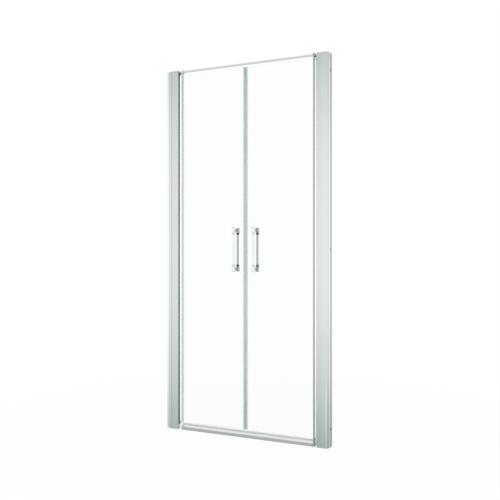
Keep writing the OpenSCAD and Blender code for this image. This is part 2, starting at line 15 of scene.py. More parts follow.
import bpy
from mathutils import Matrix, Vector


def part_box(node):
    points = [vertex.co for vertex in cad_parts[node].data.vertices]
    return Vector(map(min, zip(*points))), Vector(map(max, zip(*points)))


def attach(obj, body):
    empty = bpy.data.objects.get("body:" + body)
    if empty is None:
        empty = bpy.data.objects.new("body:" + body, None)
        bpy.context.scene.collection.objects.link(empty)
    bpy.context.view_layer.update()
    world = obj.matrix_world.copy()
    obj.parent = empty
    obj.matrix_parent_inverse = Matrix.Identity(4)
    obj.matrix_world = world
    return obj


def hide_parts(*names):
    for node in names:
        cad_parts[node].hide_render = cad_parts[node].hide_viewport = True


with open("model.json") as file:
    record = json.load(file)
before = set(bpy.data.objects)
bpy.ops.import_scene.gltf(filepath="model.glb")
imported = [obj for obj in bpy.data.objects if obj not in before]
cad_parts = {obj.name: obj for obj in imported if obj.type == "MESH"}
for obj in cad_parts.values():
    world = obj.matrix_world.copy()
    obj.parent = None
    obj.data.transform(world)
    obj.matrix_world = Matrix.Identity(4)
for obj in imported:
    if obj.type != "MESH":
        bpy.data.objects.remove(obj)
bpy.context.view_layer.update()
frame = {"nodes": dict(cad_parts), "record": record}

LOG = logging.getLogger("shower_door")

MM = 0.001
HALF_HEIGHT = 950.0 * MM
MERGE_DISTANCE = 0.02 * MM
REACH = 1.0 * MM
CORNER_STEPS = 4
BORE_SIDES = 32
SMALL_BORE_SIDES = 24
INTO_SHOWER = (0.0, 1.0, 0.0)
UPWARDS = (0.0, 0.0, 1.0)
BLACK = (0.0, 0.0, 0.0)
WHITE = (1.0, 1.0, 1.0)

Color = tuple[float, float, float]
Point = tuple[float, float]
Scale = tuple[float, float, float]
Box = tuple[Vector, Vector]
Socket = bpy.types.NodeSocket
Sockets = dict[str, Socket]


def paint(red: int, green: int, blue: int) -> Color:
    """Turns a screen colour into the linear colour that shaders take.

    Args:
        red: Red of the screen colour, 0 to 255.
        green: Green, 0 to 255.
        blue: Blue, 0 to 255.

    Returns:
        The same colour in linear light.
    """
    channels = []
    for value in (red / 255.0, green / 255.0, blue / 255.0):
        channels.append(value / 12.92 if value <= 0.04045 else ((value + 0.055) / 1.055) ** 2.4)
    return channels[0], channels[1], channels[2]


class Side(Enum):
    """The half of the door that a piece belongs to."""

    LEFT = "left"
    RIGHT = "right"

    def node(self, name: str) -> str:
        """Gives the name of this side's CAD node."""
        return f"{self.value}_{name}"


class Run(Enum):
    """The way that a drawn section is extruded."""

    UP = "up the door"
    ALONG = "along the door"
    THROUGH = "through the door"

    def place(self, u: float, v: float, w: float) -> Vector:
        """Places a point of a section.

        Args:
            u: First coordinate in the section.
            v: Second coordinate in the section.
            w: Distance along the run.

        Returns:
            The point in the door's frame.
        """
        if self is Run.UP:
            return Vector((u, v, w))
        if self is Run.ALONG:
            return Vector((w, u, v))
        return Vector((u, w, v))


class Mirror(Enum):
    """The plane that a piece is mirrored across."""

    LEFT_RIGHT = (-1.0, 1.0, 1.0)
    IN_OUT = (1.0, -1.0, 1.0)


def arc(centre: Point, radius: float, start: float, end: float, steps: int = 6) -> list[Point]:
    """Gives points along an arc.

    Args:
        centre: Centre of the arc.
        radius: Its radius.
        start: Angle of its first point, in degrees.
        end: Angle of its last point, in degrees.
        steps: How many chords it has.

    Returns:
        The points from start to end, both included.
    """
    angles = [math.radians(start + (end - start) * step / steps) for step in range(steps + 1)]
    return [(centre[0] + radius * math.cos(a), centre[1] + radius * math.sin(a)) for a in angles]


def rectangle(left: float, bottom: float, right: float, top: float) -> list[Point]:
    """Gives the corners of a rectangle."""
    return [(left, bottom), (right, bottom), (right, top), (left, top)]


def sill_outline(box: Box, edge: float) -> list[Point]:
    """Draws the outline that the sill shares with the blocks at its ends.

    Args:
        box: The sill's lowest and highest corners.
        edge: Radius of its upper edges.

    Returns:
        The outline's points.
    """
    low, high = box
    return [
        (low.y, low.z), (high.y, low.z), *arc((high.y - edge, high.z - edge), edge, 0.0, 90.0),
        *arc((low.y + edge, high.z - edge), edge, 90.0, 180.0)]


def named(sockets: Iterable[Socket]) -> Sockets:
    """Gives sockets by their names."""
    return {socket.name: socket for socket in sockets}


def deselect_all() -> None:
    """Leaves edit mode and deselects every object."""
    active = bpy.context.view_layer.objects.active
    if active is not None and active.mode != "OBJECT":
        bpy.ops.object.mode_set(mode="OBJECT")
    bpy.ops.object.select_all(action="DESELECT")


class Workpiece:
    """A mesh on the bench, shaped by the operators that a modeller would use by hand."""

    def __init__(self, obj: bpy.types.Object, name: str) -> None:
        """Takes an object onto the bench under a name.

        Args:
            obj: The object.
            name: Its new name.
        """
        self.obj = obj
        self.obj.name = name
        self.obj.data.name = name

    @classmethod
    def made(cls, name: str) -> "Workpiece":
        """Takes the object that an operator has just made, with its place put into its mesh."""
        bpy.ops.object.transform_apply(location=True, rotation=True, scale=True)
        return cls(bpy.context.active_object, name)

    @classmethod
    def block(cls, name: str, low: Sequence[float], high: Sequence[float]) -> "Workpiece":
        """Makes a box between two corners.

        Args:
            name: Name of the piece.
            low: Its lowest corner.
            high: Its highest corner.

        Returns:
            The box, with its place in its mesh.
        """
        deselect_all()
        corner, other = Vector(low), Vector(high)
        bpy.ops.mesh.primitive_cube_add(
            size=1.0, location=(corner + other) / 2, scale=other - corner)
        return cls.made(name)

    @classmethod
    def rod(
            cls, start: Sequence[float], end: Sequence[float], radius: float, sides: int = 48,
    ) -> "Workpiece":
        """Makes a round rod between two points.

        Args:
            start: Centre of one end.
            end: Centre of the other end.
            radius: Radius of the rod.
            sides: How many flats its round has.

        Returns:
            The rod, with its place in its mesh.
        """
        deselect_all()
        first, last = Vector(start), Vector(end)
        line = last - first
        turn = line.to_track_quat("Z", "Y").to_euler()
        bpy.ops.mesh.primitive_cylinder_add(
            vertices=sides, radius=radius, depth=line.length, location=(first + last) / 2,
            rotation=turn)
        return cls.made("rod")

    @classmethod
    def blank(cls, name: str) -> "Workpiece":
        """Makes an empty mesh at the origin and opens it in edit mode, with vertices selectable.

        Args:
            name: Name of the piece.

        Returns:
            The piece, in edit mode.
        """
        deselect_all()
        bpy.ops.mesh.primitive_plane_add(size=MM)
        piece = cls(bpy.context.active_object, name)
        bpy.context.tool_settings.mesh_select_mode = (True, False, False)
        bpy.ops.object.mode_set(mode="EDIT")
        bpy.ops.mesh.select_all(action="SELECT")
        bpy.ops.mesh.delete(type="VERT")
        return piece

    @staticmethod
    def merge() -> None:
        """Merges what coincides in edit mode, and leaves everything selected."""
        bpy.ops.mesh.select_all(action="SELECT")
        bpy.ops.mesh.remove_doubles(threshold=MERGE_DISTANCE)
        bpy.ops.mesh.select_all(action="SELECT")

    @staticmethod
    def draw(points: Sequence[Vector]) -> None:
        """Draws a chain of edges in edit mode by extruding one vertex from point to point.

        Args:
            points: Where the chain goes, in the door's frame.
        """
        bpy.ops.mesh.select_all(action="DESELECT")
        bpy.ops.mesh.primitive_plane_add(size=MM, location=points[0])
        bpy.ops.mesh.merge(type="CENTER")
        for here, there in zip(points, points[1:]):
            bpy.ops.mesh.extrude_vertices_move(TRANSFORM_OT_translate={"value": there - here})

    @classmethod
    def extrusion(
            cls, name: str, run: Run, loops: Sequence[Sequence[Point]], start: float, end: float,
    ) -> "Workpiece":
        """Draws a section, fills it and extrudes it along its run.

        Args:
            name: Name of the piece.
            run: The way that the section runs.
            loops: Outline of the section, then the outlines of its hollows.
            start: Where the run begins.
            end: Where the run ends.

        Returns:
            The extruded piece.
        """
        piece = cls.blank(name)
        for loop in loops:
            points = [run.place(u, v, start) for u, v in loop]
            cls.draw([*points, points[0]])
        cls.merge()
        if len(loops) == 1:
            bpy.ops.mesh.edge_face_add()
        else:
            bpy.ops.mesh.fill(use_beauty=True)
        bpy.ops.mesh.select_all(action="SELECT")
        bpy.ops.mesh.extrude_region_move(
            TRANSFORM_OT_translate={"value": run.place(0.0, 0.0, end - start)})
        return piece.close()

    @classmethod
    def turning(
            cls, name: str, outline: Sequence[Point], centre: Sequence[float], axis: Sequence[float],
            steps: int = 48,
    ) -> "Workpiece":
        """Spins an outline about an axis, as on a lathe.

        Args:
            name: Name of the piece.
            outline: Points of radius and height. It runs from axis to axis, or round a ring's section.
            centre: Point on the axis where the height is zero.
            axis: Unit vector along the axis.
            steps: How many flats a full turn has.

        Returns:
            The turned piece.
        """
        piece = cls.blank(name)
        middle, along = Vector(centre), Vector(axis)
        outwards = along.orthogonal().normalized()
        points = [middle + outwards * radius + along * height for radius, height in outline]
        if outline[0][0] > 0.0:
            points.append(points[0])
        cls.draw(points)
        cls.merge()
        bpy.ops.mesh.spin(steps=steps, angle=math.tau, center=middle, axis=along)
        return piece.close()

    def close(self) -> "Workpiece":
        """Merges what coincides, turns all faces outwards and leaves edit mode.

        Returns:
            This piece.
        """
        self.merge()
        bpy.ops.mesh.normals_make_consistent(inside=False)
        bpy.ops.object.mode_set(mode="OBJECT")
        return self

    def select(self) -> None:
        """Makes this the only selected object."""
        deselect_all()
        self.obj.select_set(True)
        bpy.context.view_layer.objects.active = self.obj

    def apply(self, modifier: bpy.types.Modifier) -> None:
        """Applies one of the piece's modifiers."""
        self.select()
        bpy.ops.object.modifier_apply(modifier=modifier.name)

    def combine(self, tools: Iterable["Workpiece"], operation: str) -> "Workpiece":
        """Cuts away or adds the shapes of other pieces, which are then used up.

        Args:
            tools: The other pieces.
            operation: DIFFERENCE or UNION.

        Returns:
            This piece.
        """
        for tool in tools:
            modifier = self.obj.modifiers.new("combine", "BOOLEAN")
            modifier.operation = operation
            modifier.solver = "EXACT"
            modifier.object = tool.obj
            self.apply(modifier)
            bpy.data.objects.remove(tool.obj, do_unlink=True)
        return self

    def cut(self, *tools: "Workpiece") -> "Workpiece":
        """Cuts other pieces' shapes out of this one."""
        return self.combine(tools, "DIFFERENCE")

    def add(self, *tools: "Workpiece") -> "Workpiece":
        """Adds other pieces' shapes to this one."""
        return self.combine(tools, "UNION")

    def copy(self, shift: Sequence[float]) -> "Workpiece":
        """Copies the piece, with a mesh of its own.

        Args:
            shift: How far the copy is moved.

        Returns:
            The copy.
        """
        self.select()
        bpy.ops.object.duplicate(linked=False)
        bpy.context.active_object.location = Vector(shift)
        return self.made(self.obj.name)

    def join(self, *others: "Workpiece") -> "Workpiece":
        """Takes separate solids into this piece's mesh.

        Args:
            *others: The pieces that it takes in.

        Returns:
            This piece.
        """
        self.select()
        for other in others:
            other.obj.select_set(True)
        bpy.ops.object.join()
        return self

    def mirror(self, plane: Mirror) -> "Workpiece":
        """Mirrors the piece across a plane through the origin and turns its faces outwards again.

        Args:
            plane: The plane.

        Returns:
            This piece.
        """
        self.select()
        bpy.ops.object.mode_set(mode="EDIT")
        bpy.ops.mesh.select_all(action="SELECT")
        bpy.ops.transform.resize(value=plane.value, center_override=(0.0, 0.0, 0.0))
        return self.close()

    def round_edges(
            self, width: float, segments: int = 3, sharper_than: float = 40.0,
    ) -> "Workpiece":
        """Rounds every edge that turns sharply.

        Args:
            width: How far the rounding reaches into each face.
            segments: How many facets it has, or 1 for a chamfer.
            sharper_than: The turn above which an edge is rounded, in degrees.

        Returns:
            This piece.
        """
        modifier = self.obj.modifiers.new("edges", "BEVEL")
        modifier.width = width
        modifier.segments = segments
        modifier.limit_method = "ANGLE"
        modifier.angle_limit = math.radians(sharper_than)
        self.apply(modifier)
        return self

    def shade(self, smooth_below: float = 35.0) -> "Workpiece":
        """Smooths round faces, and keeps the flat ones flat.

        Args:
            smooth_below: The turn below which two faces are shaded as one, in degrees.

        Returns:
            This piece.
        """
        self.select()
        bpy.ops.object.shade_smooth_by_angle(angle=math.radians(smooth_below))
        modifier = self.obj.modifiers.new("flats", "WEIGHTED_NORMAL")
        modifier.keep_sharp = True
        self.apply(modifier)
        return self


class NodeBench:
    """Adds nodes to one node tree and joins them by the names of their sockets."""

    def __init__(self, tree: bpy.types.NodeTree) -> None:
        """Starts on a node tree."""
        self.tree = tree

    def add(self, kind: str, name: str, **settings: object) -> bpy.types.Node:
        """Adds a node.

        Args:
            kind: The node's type.
            name: What it is for.
            **settings: Values of the node's own properties.

        Returns:
            The node.
        """
        node = self.tree.nodes.new(kind)
        node.name = node.label = name
        for key, value in settings.items():
            setattr(node, key, value)
        return node

    def join(self, source: Socket, target: Socket) -> None:
        """Links two sockets."""
        self.tree.links.new(source, target)

    def feed(self, target: Socket, value: object) -> None:
        """Links a socket into another, or sets a plain value on it.

        Args:
            target: The input.
            value: A socket, a number, a colour or a vector.
        """
        if isinstance(value, Socket):
            self.join(value, target)
        elif target.type == "RGBA":
            target.default_value = (*value, 1.0)
        else:
            target.default_value = value

    def fill(self, node: bpy.types.Node, **values: object) -> bpy.types.Node:
        """Feeds inputs of a node.

        Args:
            node: The node.
            **values: What its inputs get, under their names with underscores for spaces.

        Returns:
            The node.
        """
        for key, value in values.items():
            self.feed(node.inputs[key.replace("_", " ")], value)
        return node

    def math(self, operation: str, name: str, *values: object) -> Socket:
        """Adds a Math node.

        Args:
            operation: The node's operation.
            name: What it works out.
            *values: Its inputs, sockets or numbers.

        Returns:
            The result's socket.
        """
        node = self.add("ShaderNodeMath", name, operation=operation)
        for socket, value in zip(node.inputs, values):
            self.feed(socket, value)
        return node.outputs["Value"]

    def vector(self, operation: str, name: str, *values: object) -> Socket:
        """Adds a Vector Math node.

        Args:
            operation: The node's operation.
            name: What it works out.
            *values: Its inputs, sockets or vectors.

        Returns:
            The result's socket.
        """
        node = self.add("ShaderNodeVectorMath", name, operation=operation)
        for socket, value in zip(node.inputs, values):
            self.feed(socket, value)
        numbers = ("DISTANCE", "DOT_PRODUCT", "LENGTH")
        return node.outputs["Value" if operation in numbers else "Vector"]

    def surface(self, reading: str) -> Socket:
        """Gives the place of a surface point in the door's frame, for Object, or its Normal."""
        return self.add("ShaderNodeTexCoord", reading).outputs[reading]

    def axes(self, reading: str) -> Sockets:
        """Splits a reading of the surface into X, Y and Z.

        Args:
            reading: Object or Normal, as for the surface.

        Returns:
            The sockets of X, Y and Z.
        """
        split = self.add("ShaderNodeSeparateXYZ", f"split {reading}")
        self.join(self.surface(reading), split.inputs["Vector"])
        return named(split.outputs)

    def ramp(self, name: str, value: object, low: object, high: object,
             to_low: object = 0.0, to_high: object = 1.0) -> Socket:
        """Maps a value smoothly from one range to another, and stops at its ends.

        Args:
            name: What it works out.
            value: The value.
            low: Start of the value's range.
            high: End of the value's range.
            to_low: What the start becomes.
            to_high: What the end becomes.

        Returns:
            The result's socket.
        """
        node = self.add("ShaderNodeMapRange", name, interpolation_type="SMOOTHSTEP")
        self.fill(node, Value=value, From_Min=low, From_Max=high, To_Min=to_low, To_Max=to_high)
        return node.outputs["Result"]

    def step(self, name: str, value: object, limit: object, softness: object,
             falling: bool = False) -> Socket:
        """Steps softly from 0 to 1 at a limit.

        Args:
            name: What it works out.
            value: The value.
            limit: Where the middle of the step is.
            softness: How far the step reaches to each side.
            falling: Whether it goes from 1 to 0 instead.

        Returns:
            The result's socket.
        """
        start = self.math("SUBTRACT", f"start of {name}", limit, softness)
        end = self.math("ADD", f"end of {name}", limit, softness)
        return self.ramp(name, value, start, end, *((1.0, 0.0) if falling else (0.0, 1.0)))

    def mix(self, name: str, share: object, first: object, second: object,
            blend: str = "MIX") -> Socket:
        """Mixes two colours.

        Args:
            name: What it works out.
            share: How much of the second colour.
            first: The first colour.
            second: The second colour.
            blend: The blend type.

        Returns:
            The mixed colour's socket.
        """
        node = self.add("ShaderNodeMix", name, data_type="RGBA", blend_type=blend)
        sockets = {socket.identifier: socket for socket in node.inputs}
        for key, value in (("Factor_Float", share), ("A_Color", first), ("B_Color", second)):
            self.feed(sockets[key], value)
        return next(socket for socket in node.outputs if socket.identifier == "Result_Color")

    def multiply(self, name: str, share: object, color: object, level: object) -> Socket:
        """Multiplies a colour.

        Args:
            name: What it works out.
            share: How fully it is multiplied, or a mask.
            color: The colour.
            level: What by: a number, a colour or a socket.

        Returns:
            The product's socket.
        """
        factor = (level,) * 3 if isinstance(level, float) else level
        return self.mix(name, share, color, factor, "MULTIPLY")


class Carries(Enum):
    """What a node group's socket carries."""

    NUMBER = "NodeSocketFloat"
    COLOR = "NodeSocketColor"
    VECTOR = "NodeSocketVector"


MASK = {Carries.NUMBER: ("Mask",)}


class Effect(Enum):
    """A shader node group that several finishes share."""

    GRAIN = "fine_grain"
    HEIGHT_TONE = "height_tone"
    BAND = "band_along_profile"
    FACING = "facing_the_leaf"
    DEPTH_LEVEL = "level_by_depth"
    CAVITY = "inside_of_a_profile"
    RIM = "shade_round_a_hole"
    PATCH = "patch_on_a_turning"
    SOLID = "solid_part_of_a_seal"


class Effects:
    """Builds each shader node group once, and places it in materials with values of their own."""

    # How fast the painted shade of the height tone falls off towards the foot and the head.
    FOOT_FALL = 2.0
    HEAD_FALL = 2.5
    GRAIN_ROUGHNESS = 0.6
    FOOT_RISE = 10.0 * MM
    CORNER = (-12.0 * MM, -10.5 * MM)
    SHADE_END = (2.5 * MM, 5.5 * MM)

    def __init__(self) -> None:
        """Starts with no group built."""
        self.trees: dict[Effect, bpy.types.NodeTree] = {}

    def place(self, bench: NodeBench, effect: Effect, name: str, **values: object) -> Sockets:
        """Places a group in a material.

        Args:
            bench: The material's bench.
            effect: Which group.
            name: What it is for.
            **values: Its inputs, under their names with underscores for spaces.

        Returns:
            The group's outputs.
        """
        if effect not in self.trees:
            self.trees[effect] = self.build(effect)
        node = bench.add("ShaderNodeGroup", name, node_tree=self.trees[effect])
        return named(bench.fill(node, **values).outputs)

    def build(self, effect: Effect) -> bpy.types.NodeTree:
        """Builds one group.

        Args:
            effect: Which group.

        Returns:
            The group's node tree.
        """
        makers = {
            Effect.GRAIN: self.grain,
            Effect.HEIGHT_TONE: self.height_tone,
            Effect.BAND: self.band,
            Effect.FACING: self.facing,
            Effect.DEPTH_LEVEL: self.depth_level,
            Effect.CAVITY: self.cavity,
            Effect.RIM: self.rim,
            Effect.PATCH: self.patch,
            Effect.SOLID: self.solid,
        }
        tree = bpy.data.node_groups.new(effect.value, "ShaderNodeTree")
        makers[effect](NodeBench(tree))
        return tree

    @staticmethod
    def sockets(bench: NodeBench, inputs: dict[Carries, tuple[str, ...]],
                outputs: dict[Carries, tuple[str, ...]]) -> tuple[Sockets, Sockets]:
        """Gives a group its sockets.

        Args:
            bench: The group's bench.
            inputs: Names of inputs, by what they carry.
            outputs: Names of outputs, by what they carry.

        Returns:
            What the group is given, and what its results are joined to.
        """
        for way, kinds in (("INPUT", inputs), ("OUTPUT", outputs)):
            for kind, names in kinds.items():
                for name in names:
                    bench.tree.interface.new_socket(name=name, in_out=way, socket_type=kind.value)
        given = bench.add("NodeGroupInput", "inputs")
        result = bench.add("NodeGroupOutput", "outputs")
        return named(given.outputs), named(result.inputs)

    @staticmethod
    def between(bench: NodeBench, value: Socket, given: Sockets) -> Socket:
        """Gives a soft mask for a value between a group's inputs From and To.

        Args:
            bench: The group's bench.
            value: The value.
            given: The group's inputs, From, To and Softness among them.

        Returns:
            The mask's socket.
        """
        first = bench.step("first edge", value, given["From"], given["Softness"])
        last = bench.step("last edge", value, given["To"], given["Softness"], falling=True)
        return bench.math("MULTIPLY", "between", first, last)

    def grain(self, bench: NodeBench) -> None:
        """Fine noise, scaled along each axis: extrusion lines, brushing or a moulded texture.

        Args:
            bench: The group's bench.
        """
        given, result = self.sockets(
            bench, {Carries.VECTOR: ("Scale",), Carries.NUMBER: ("Detail",)},
            {Carries.NUMBER: ("Grain",)})
        stretched = bench.vector("MULTIPLY", "stretch", bench.surface("Object"), given["Scale"])
        noise = bench.fill(
            bench.add("ShaderNodeTexNoise", "noise"), Vector=stretched, Scale=1.0,
            Detail=given["Detail"], Roughness=self.GRAIN_ROUGHNESS)
        bench.join(noise.outputs["Fac"], result["Grain"])

    def height_tone(self, bench: NodeBench) -> None:
        """A painted shade: a colour that falls off ever faster from the door's middle to its foot and
        its head.

        Args:
            bench: The group's bench.
        """
        given, result = self.sockets(
            bench, {Carries.COLOR: ("Foot", "Middle", "Head")}, {Carries.COLOR: ("Color",)})
        height = bench.math("DIVIDE", "height in halves", bench.axes("Object")["Z"], HALF_HEIGHT)
        below = bench.math("SUBTRACT", "below the middle", 1.0, height)
        above = bench.math("SUBTRACT", "above the middle", height, 1.0)
        lower, upper = (
            bench.math("POWER", "fall", bench.math("MAXIMUM", "one way only", distance, 0.0), power)
            for distance, power in ((below, self.FOOT_FALL), (above, self.HEAD_FALL)))
        lower_color = bench.mix("lower half", lower, given["Middle"], given["Foot"])
        bench.join(bench.mix("upper half", upper, lower_color, given["Head"]), result["Color"])

    def band(self, bench: NodeBench) -> None:
        """A mask for an upright band of painted light and shade, between two distances from the middle
        of the door.

        Args:
            bench: The group's bench.
        """
        given, result = self.sockets(
            bench,
            {Carries.NUMBER: ("From", "To", "Softness", "Full Height", "Faded Height", "Faded Share")},
            MASK)
        place = bench.axes("Object")
        out = bench.math("ABSOLUTE", "distance from the middle", place["X"])
        share = bench.ramp("fade", place["Z"], given["Full Height"], given["Faded Height"], 1.0,
                           given["Faded Share"])
        between = self.between(bench, out, given)
        bench.join(bench.math("MULTIPLY", "faded", between, share), result["Mask"])

    def facing(self, bench: NodeBench) -> None:
        """Masks for faces that look to the door's middle, to the wall and up, where light and shade are
        painted.

        Args:
            bench: The group's bench.
        """
        given, result = self.sockets(
            bench, {Carries.NUMBER: ("Limit", "Floor")},
            {Carries.NUMBER: ("Inwards", "Outwards", "Upwards")})
        turned, place = bench.axes("Normal"), bench.axes("Object")
        half = bench.math("SIGN", "half of the door", place["X"])
        outwards = bench.math("MULTIPLY", "towards the wall", turned["X"], half)
        inwards = bench.math("MULTIPLY", "towards the leaf", outwards, -1.0)
        dim_from = bench.math("ADD", "dim from", given["Floor"], self.FOOT_RISE)
        over = bench.ramp("over the lit foot", place["Z"], given["Floor"], dim_from)
        wall_side, leaf_side, top = (
            bench.ramp(name, way, given["Limit"], 1.0)
            for name, way in (("wall side", outwards), ("leaf side", inwards), ("top", turned["Z"])))
        bench.join(wall_side, result["Outwards"])
        bench.join(bench.math("MULTIPLY", "dim leaf side", leaf_side, over), result["Inwards"])
        bench.join(top, result["Upwards"])

    def depth_level(self, bench: NodeBench) -> None:
        """Three levels through the door's depth: a lit outer corner, a shade, and what follows.

        Args:
            bench: The group's bench.
        """
        given, result = self.sockets(
            bench, {Carries.NUMBER: ("Front", "Middle", "Back")}, {Carries.NUMBER: ("Level",)})
        depth = bench.axes("Object")["Y"]
        first = bench.ramp("corner to shade", depth, *self.CORNER, given["Front"], given["Middle"])
        past = bench.ramp("past the shade", depth, *self.SHADE_END)
        change = bench.math("SUBTRACT", "shade to back", given["Back"], given["Middle"])
        rise = bench.math("MULTIPLY", "rise", past, change)
        bench.join(bench.math("ADD", "level", first, rise), result["Level"])

    def cavity(self, bench: NodeBench) -> None:
        """A mask for the inside of a profile, where little light comes.

        Args:
            bench: The group's bench.
        """
        given, result = self.sockets(bench, {Carries.NUMBER: ("Out", "Half")}, MASK)
        place = bench.axes("Object")
        within = [
            bench.math("LESS_THAN", f"within {name}", bench.math("ABSOLUTE", name, place[axis]),
                       given[name])
            for name, axis in (("Out", "X"), ("Half", "Y"))]
        bench.join(bench.math("MULTIPLY", "inside", *within), result["Mask"])

    def rim(self, bench: NodeBench) -> None:
        """A mask for painted shade close round an axis that runs along the door, such as a wall hole's.

        Args:
            bench: The group's bench.
        """
        given, result = self.sockets(
            bench, {Carries.VECTOR: ("Centre",), Carries.NUMBER: ("Reach", "Softness")}, MASK)
        flat = bench.vector("MULTIPLY", "on the wall side", bench.surface("Object"), (0.0, 1.0, 1.0))
        away = bench.vector("DISTANCE", "distance from the axis", flat, given["Centre"])
        mask = bench.step("rim", away, given["Reach"], given["Softness"], falling=True)
        bench.join(mask, result["Mask"])

    def patch(self, bench: NodeBench) -> None:
        """A mask for a painted reflection on a turned piece, between two heights off its middle and two
        turns of its surface.

        Args:
            bench: The group's bench.
        """
        given, result = self.sockets(
            bench,
            {Carries.VECTOR: ("Across",),
             Carries.NUMBER: ("Middle Height", "Near", "Far", "From", "To", "Softness")},
            MASK)
        above = bench.math(
            "SUBTRACT", "above the middle", bench.axes("Object")["Z"], given["Middle Height"])
        away = bench.math("ABSOLUTE", "off the middle", above)
        near = bench.math("GREATER_THAN", "past the near end", away, given["Near"])
        far = bench.math("LESS_THAN", "before the far end", away, given["Far"])
        across = bench.vector("DOT_PRODUCT", "turn across", bench.surface("Normal"), given["Across"])
        heights = bench.math("MULTIPLY", "between heights", near, far)
        turns = self.between(bench, across, given)
        bench.join(bench.math("MULTIPLY", "patch", heights, turns), result["Mask"])

    def solid(self, bench: NodeBench) -> None:
        """A mask for a seal's body, without the lips that lie farther out or off a height.

        Args:
            bench: The group's bench.
        """
        given, result = self.sockets(
            bench, {Carries.NUMBER: ("Out", "Height", "Reach", "Softness")}, MASK)
        place = bench.axes("Object")
        over = bench.math("SUBTRACT", "over the height", place["Z"], given["Height"])
        masks = []
        for name, value in (("Out", place["X"]), ("Reach", over)):
            distance = bench.math("ABSOLUTE", name, value)
            end = bench.math("ADD", f"past {name}", given[name], given["Softness"])
            masks.append(bench.ramp(f"within {name}", distance, given[name], end, 1.0, 0.0))
        bench.join(bench.math("MULTIPLY", "within both", *masks), result["Mask"])


EFFECTS = Effects()
MATERIALS: dict[str, bpy.types.Material] = {}


@dataclass(frozen=True)
class Finish:
    """What all finishes share: a name, a fine pattern, and a material that is built once.

    The pattern shows between the two values of `contrast`, where the roughness is multiplied by
    the two values of `gloss`. It stands out with the strength and depth of `relief`.
    """

    name: str
    scale: Scale = (900.0, 900.0, 900.0)
    detail: float = 3.0
    contrast: Point = (0.3, 0.7)
    roughness: float = 0.4
    gloss: Point = (1.0, 1.0)
    relief: Point = (0.0, 0.0)

    def material(self) -> bpy.types.Material:
        """Gives the finish's material, which is built at its first use.

        Returns:
            The material.
        """
        if self.name not in MATERIALS:
            made = bpy.data.materials.new(self.name)
            made.use_nodes = True
            MATERIALS[self.name] = made
            self.build(NodeBench(made.node_tree), made.node_tree.nodes["Principled BSDF"])
        return MATERIALS[self.name]

    def build(self, bench: NodeBench, shader: bpy.types.Node) -> None:
        """Fills in the material's nodes."""
        raise NotImplementedError

    def pattern(self, bench: NodeBench, shader: bpy.types.Node) -> Socket:
        """Adds the fine pattern, and lets it vary the gloss and the relief.

        Args:
            bench: The material's bench.
            shader: Its shader.

        Returns:
            The pattern's socket.
        """
        grain = EFFECTS.place(
            bench, Effect.GRAIN, "pattern", Scale=self.scale, Detail=self.detail)["Grain"]
        rough = (self.roughness * factor for factor in self.gloss)
        bench.fill(shader, Roughness=bench.ramp("pattern gloss", grain, *self.contrast, *rough))
        strength, depth = self.relief
        if strength > 0.0:
            bump = bench.add("ShaderNodeBump", "relief")
            bench.fill(bump, Strength=strength, Distance=depth, Height=grain)
            bench.join(bump.outputs["Normal"], shader.inputs["Normal"])
        return grain

    def tone(self, bench: NodeBench, pattern: Socket) -> Socket:
        """Gives the pattern from 0 to 1 within its contrast."""
        return bench.ramp("pattern tone", pattern, *self.contrast)

    @staticmethod
    def up_the_door(
            bench: NodeBench, middle: Color, foot: Color | None, head: Color | None,
    ) -> object:
        """Gives a colour that changes from the door's middle to its foot and head, as painted shade.

        Args:
            bench: The material's bench.
            middle: The colour in the middle.
            foot: The colour at the foot, or None for one colour all along.
            head: The colour at the head.

        Returns:
            The colour, or its socket.
        """
        if foot is None:
            return middle
        return EFFECTS.place(
            bench, Effect.HEIGHT_TONE, "tone up the door", Foot=foot, Middle=middle, Head=head)["Color"]


@dataclass(frozen=True)
class Band:
    """An upright band of painted light and shade between two distances from the door's middle: a
    highlight where its level is above 1, a shade below.
    """

    start: float
    end: float
    level: float
    softness: float = 0.4 * MM
    head_share: float = 0.0


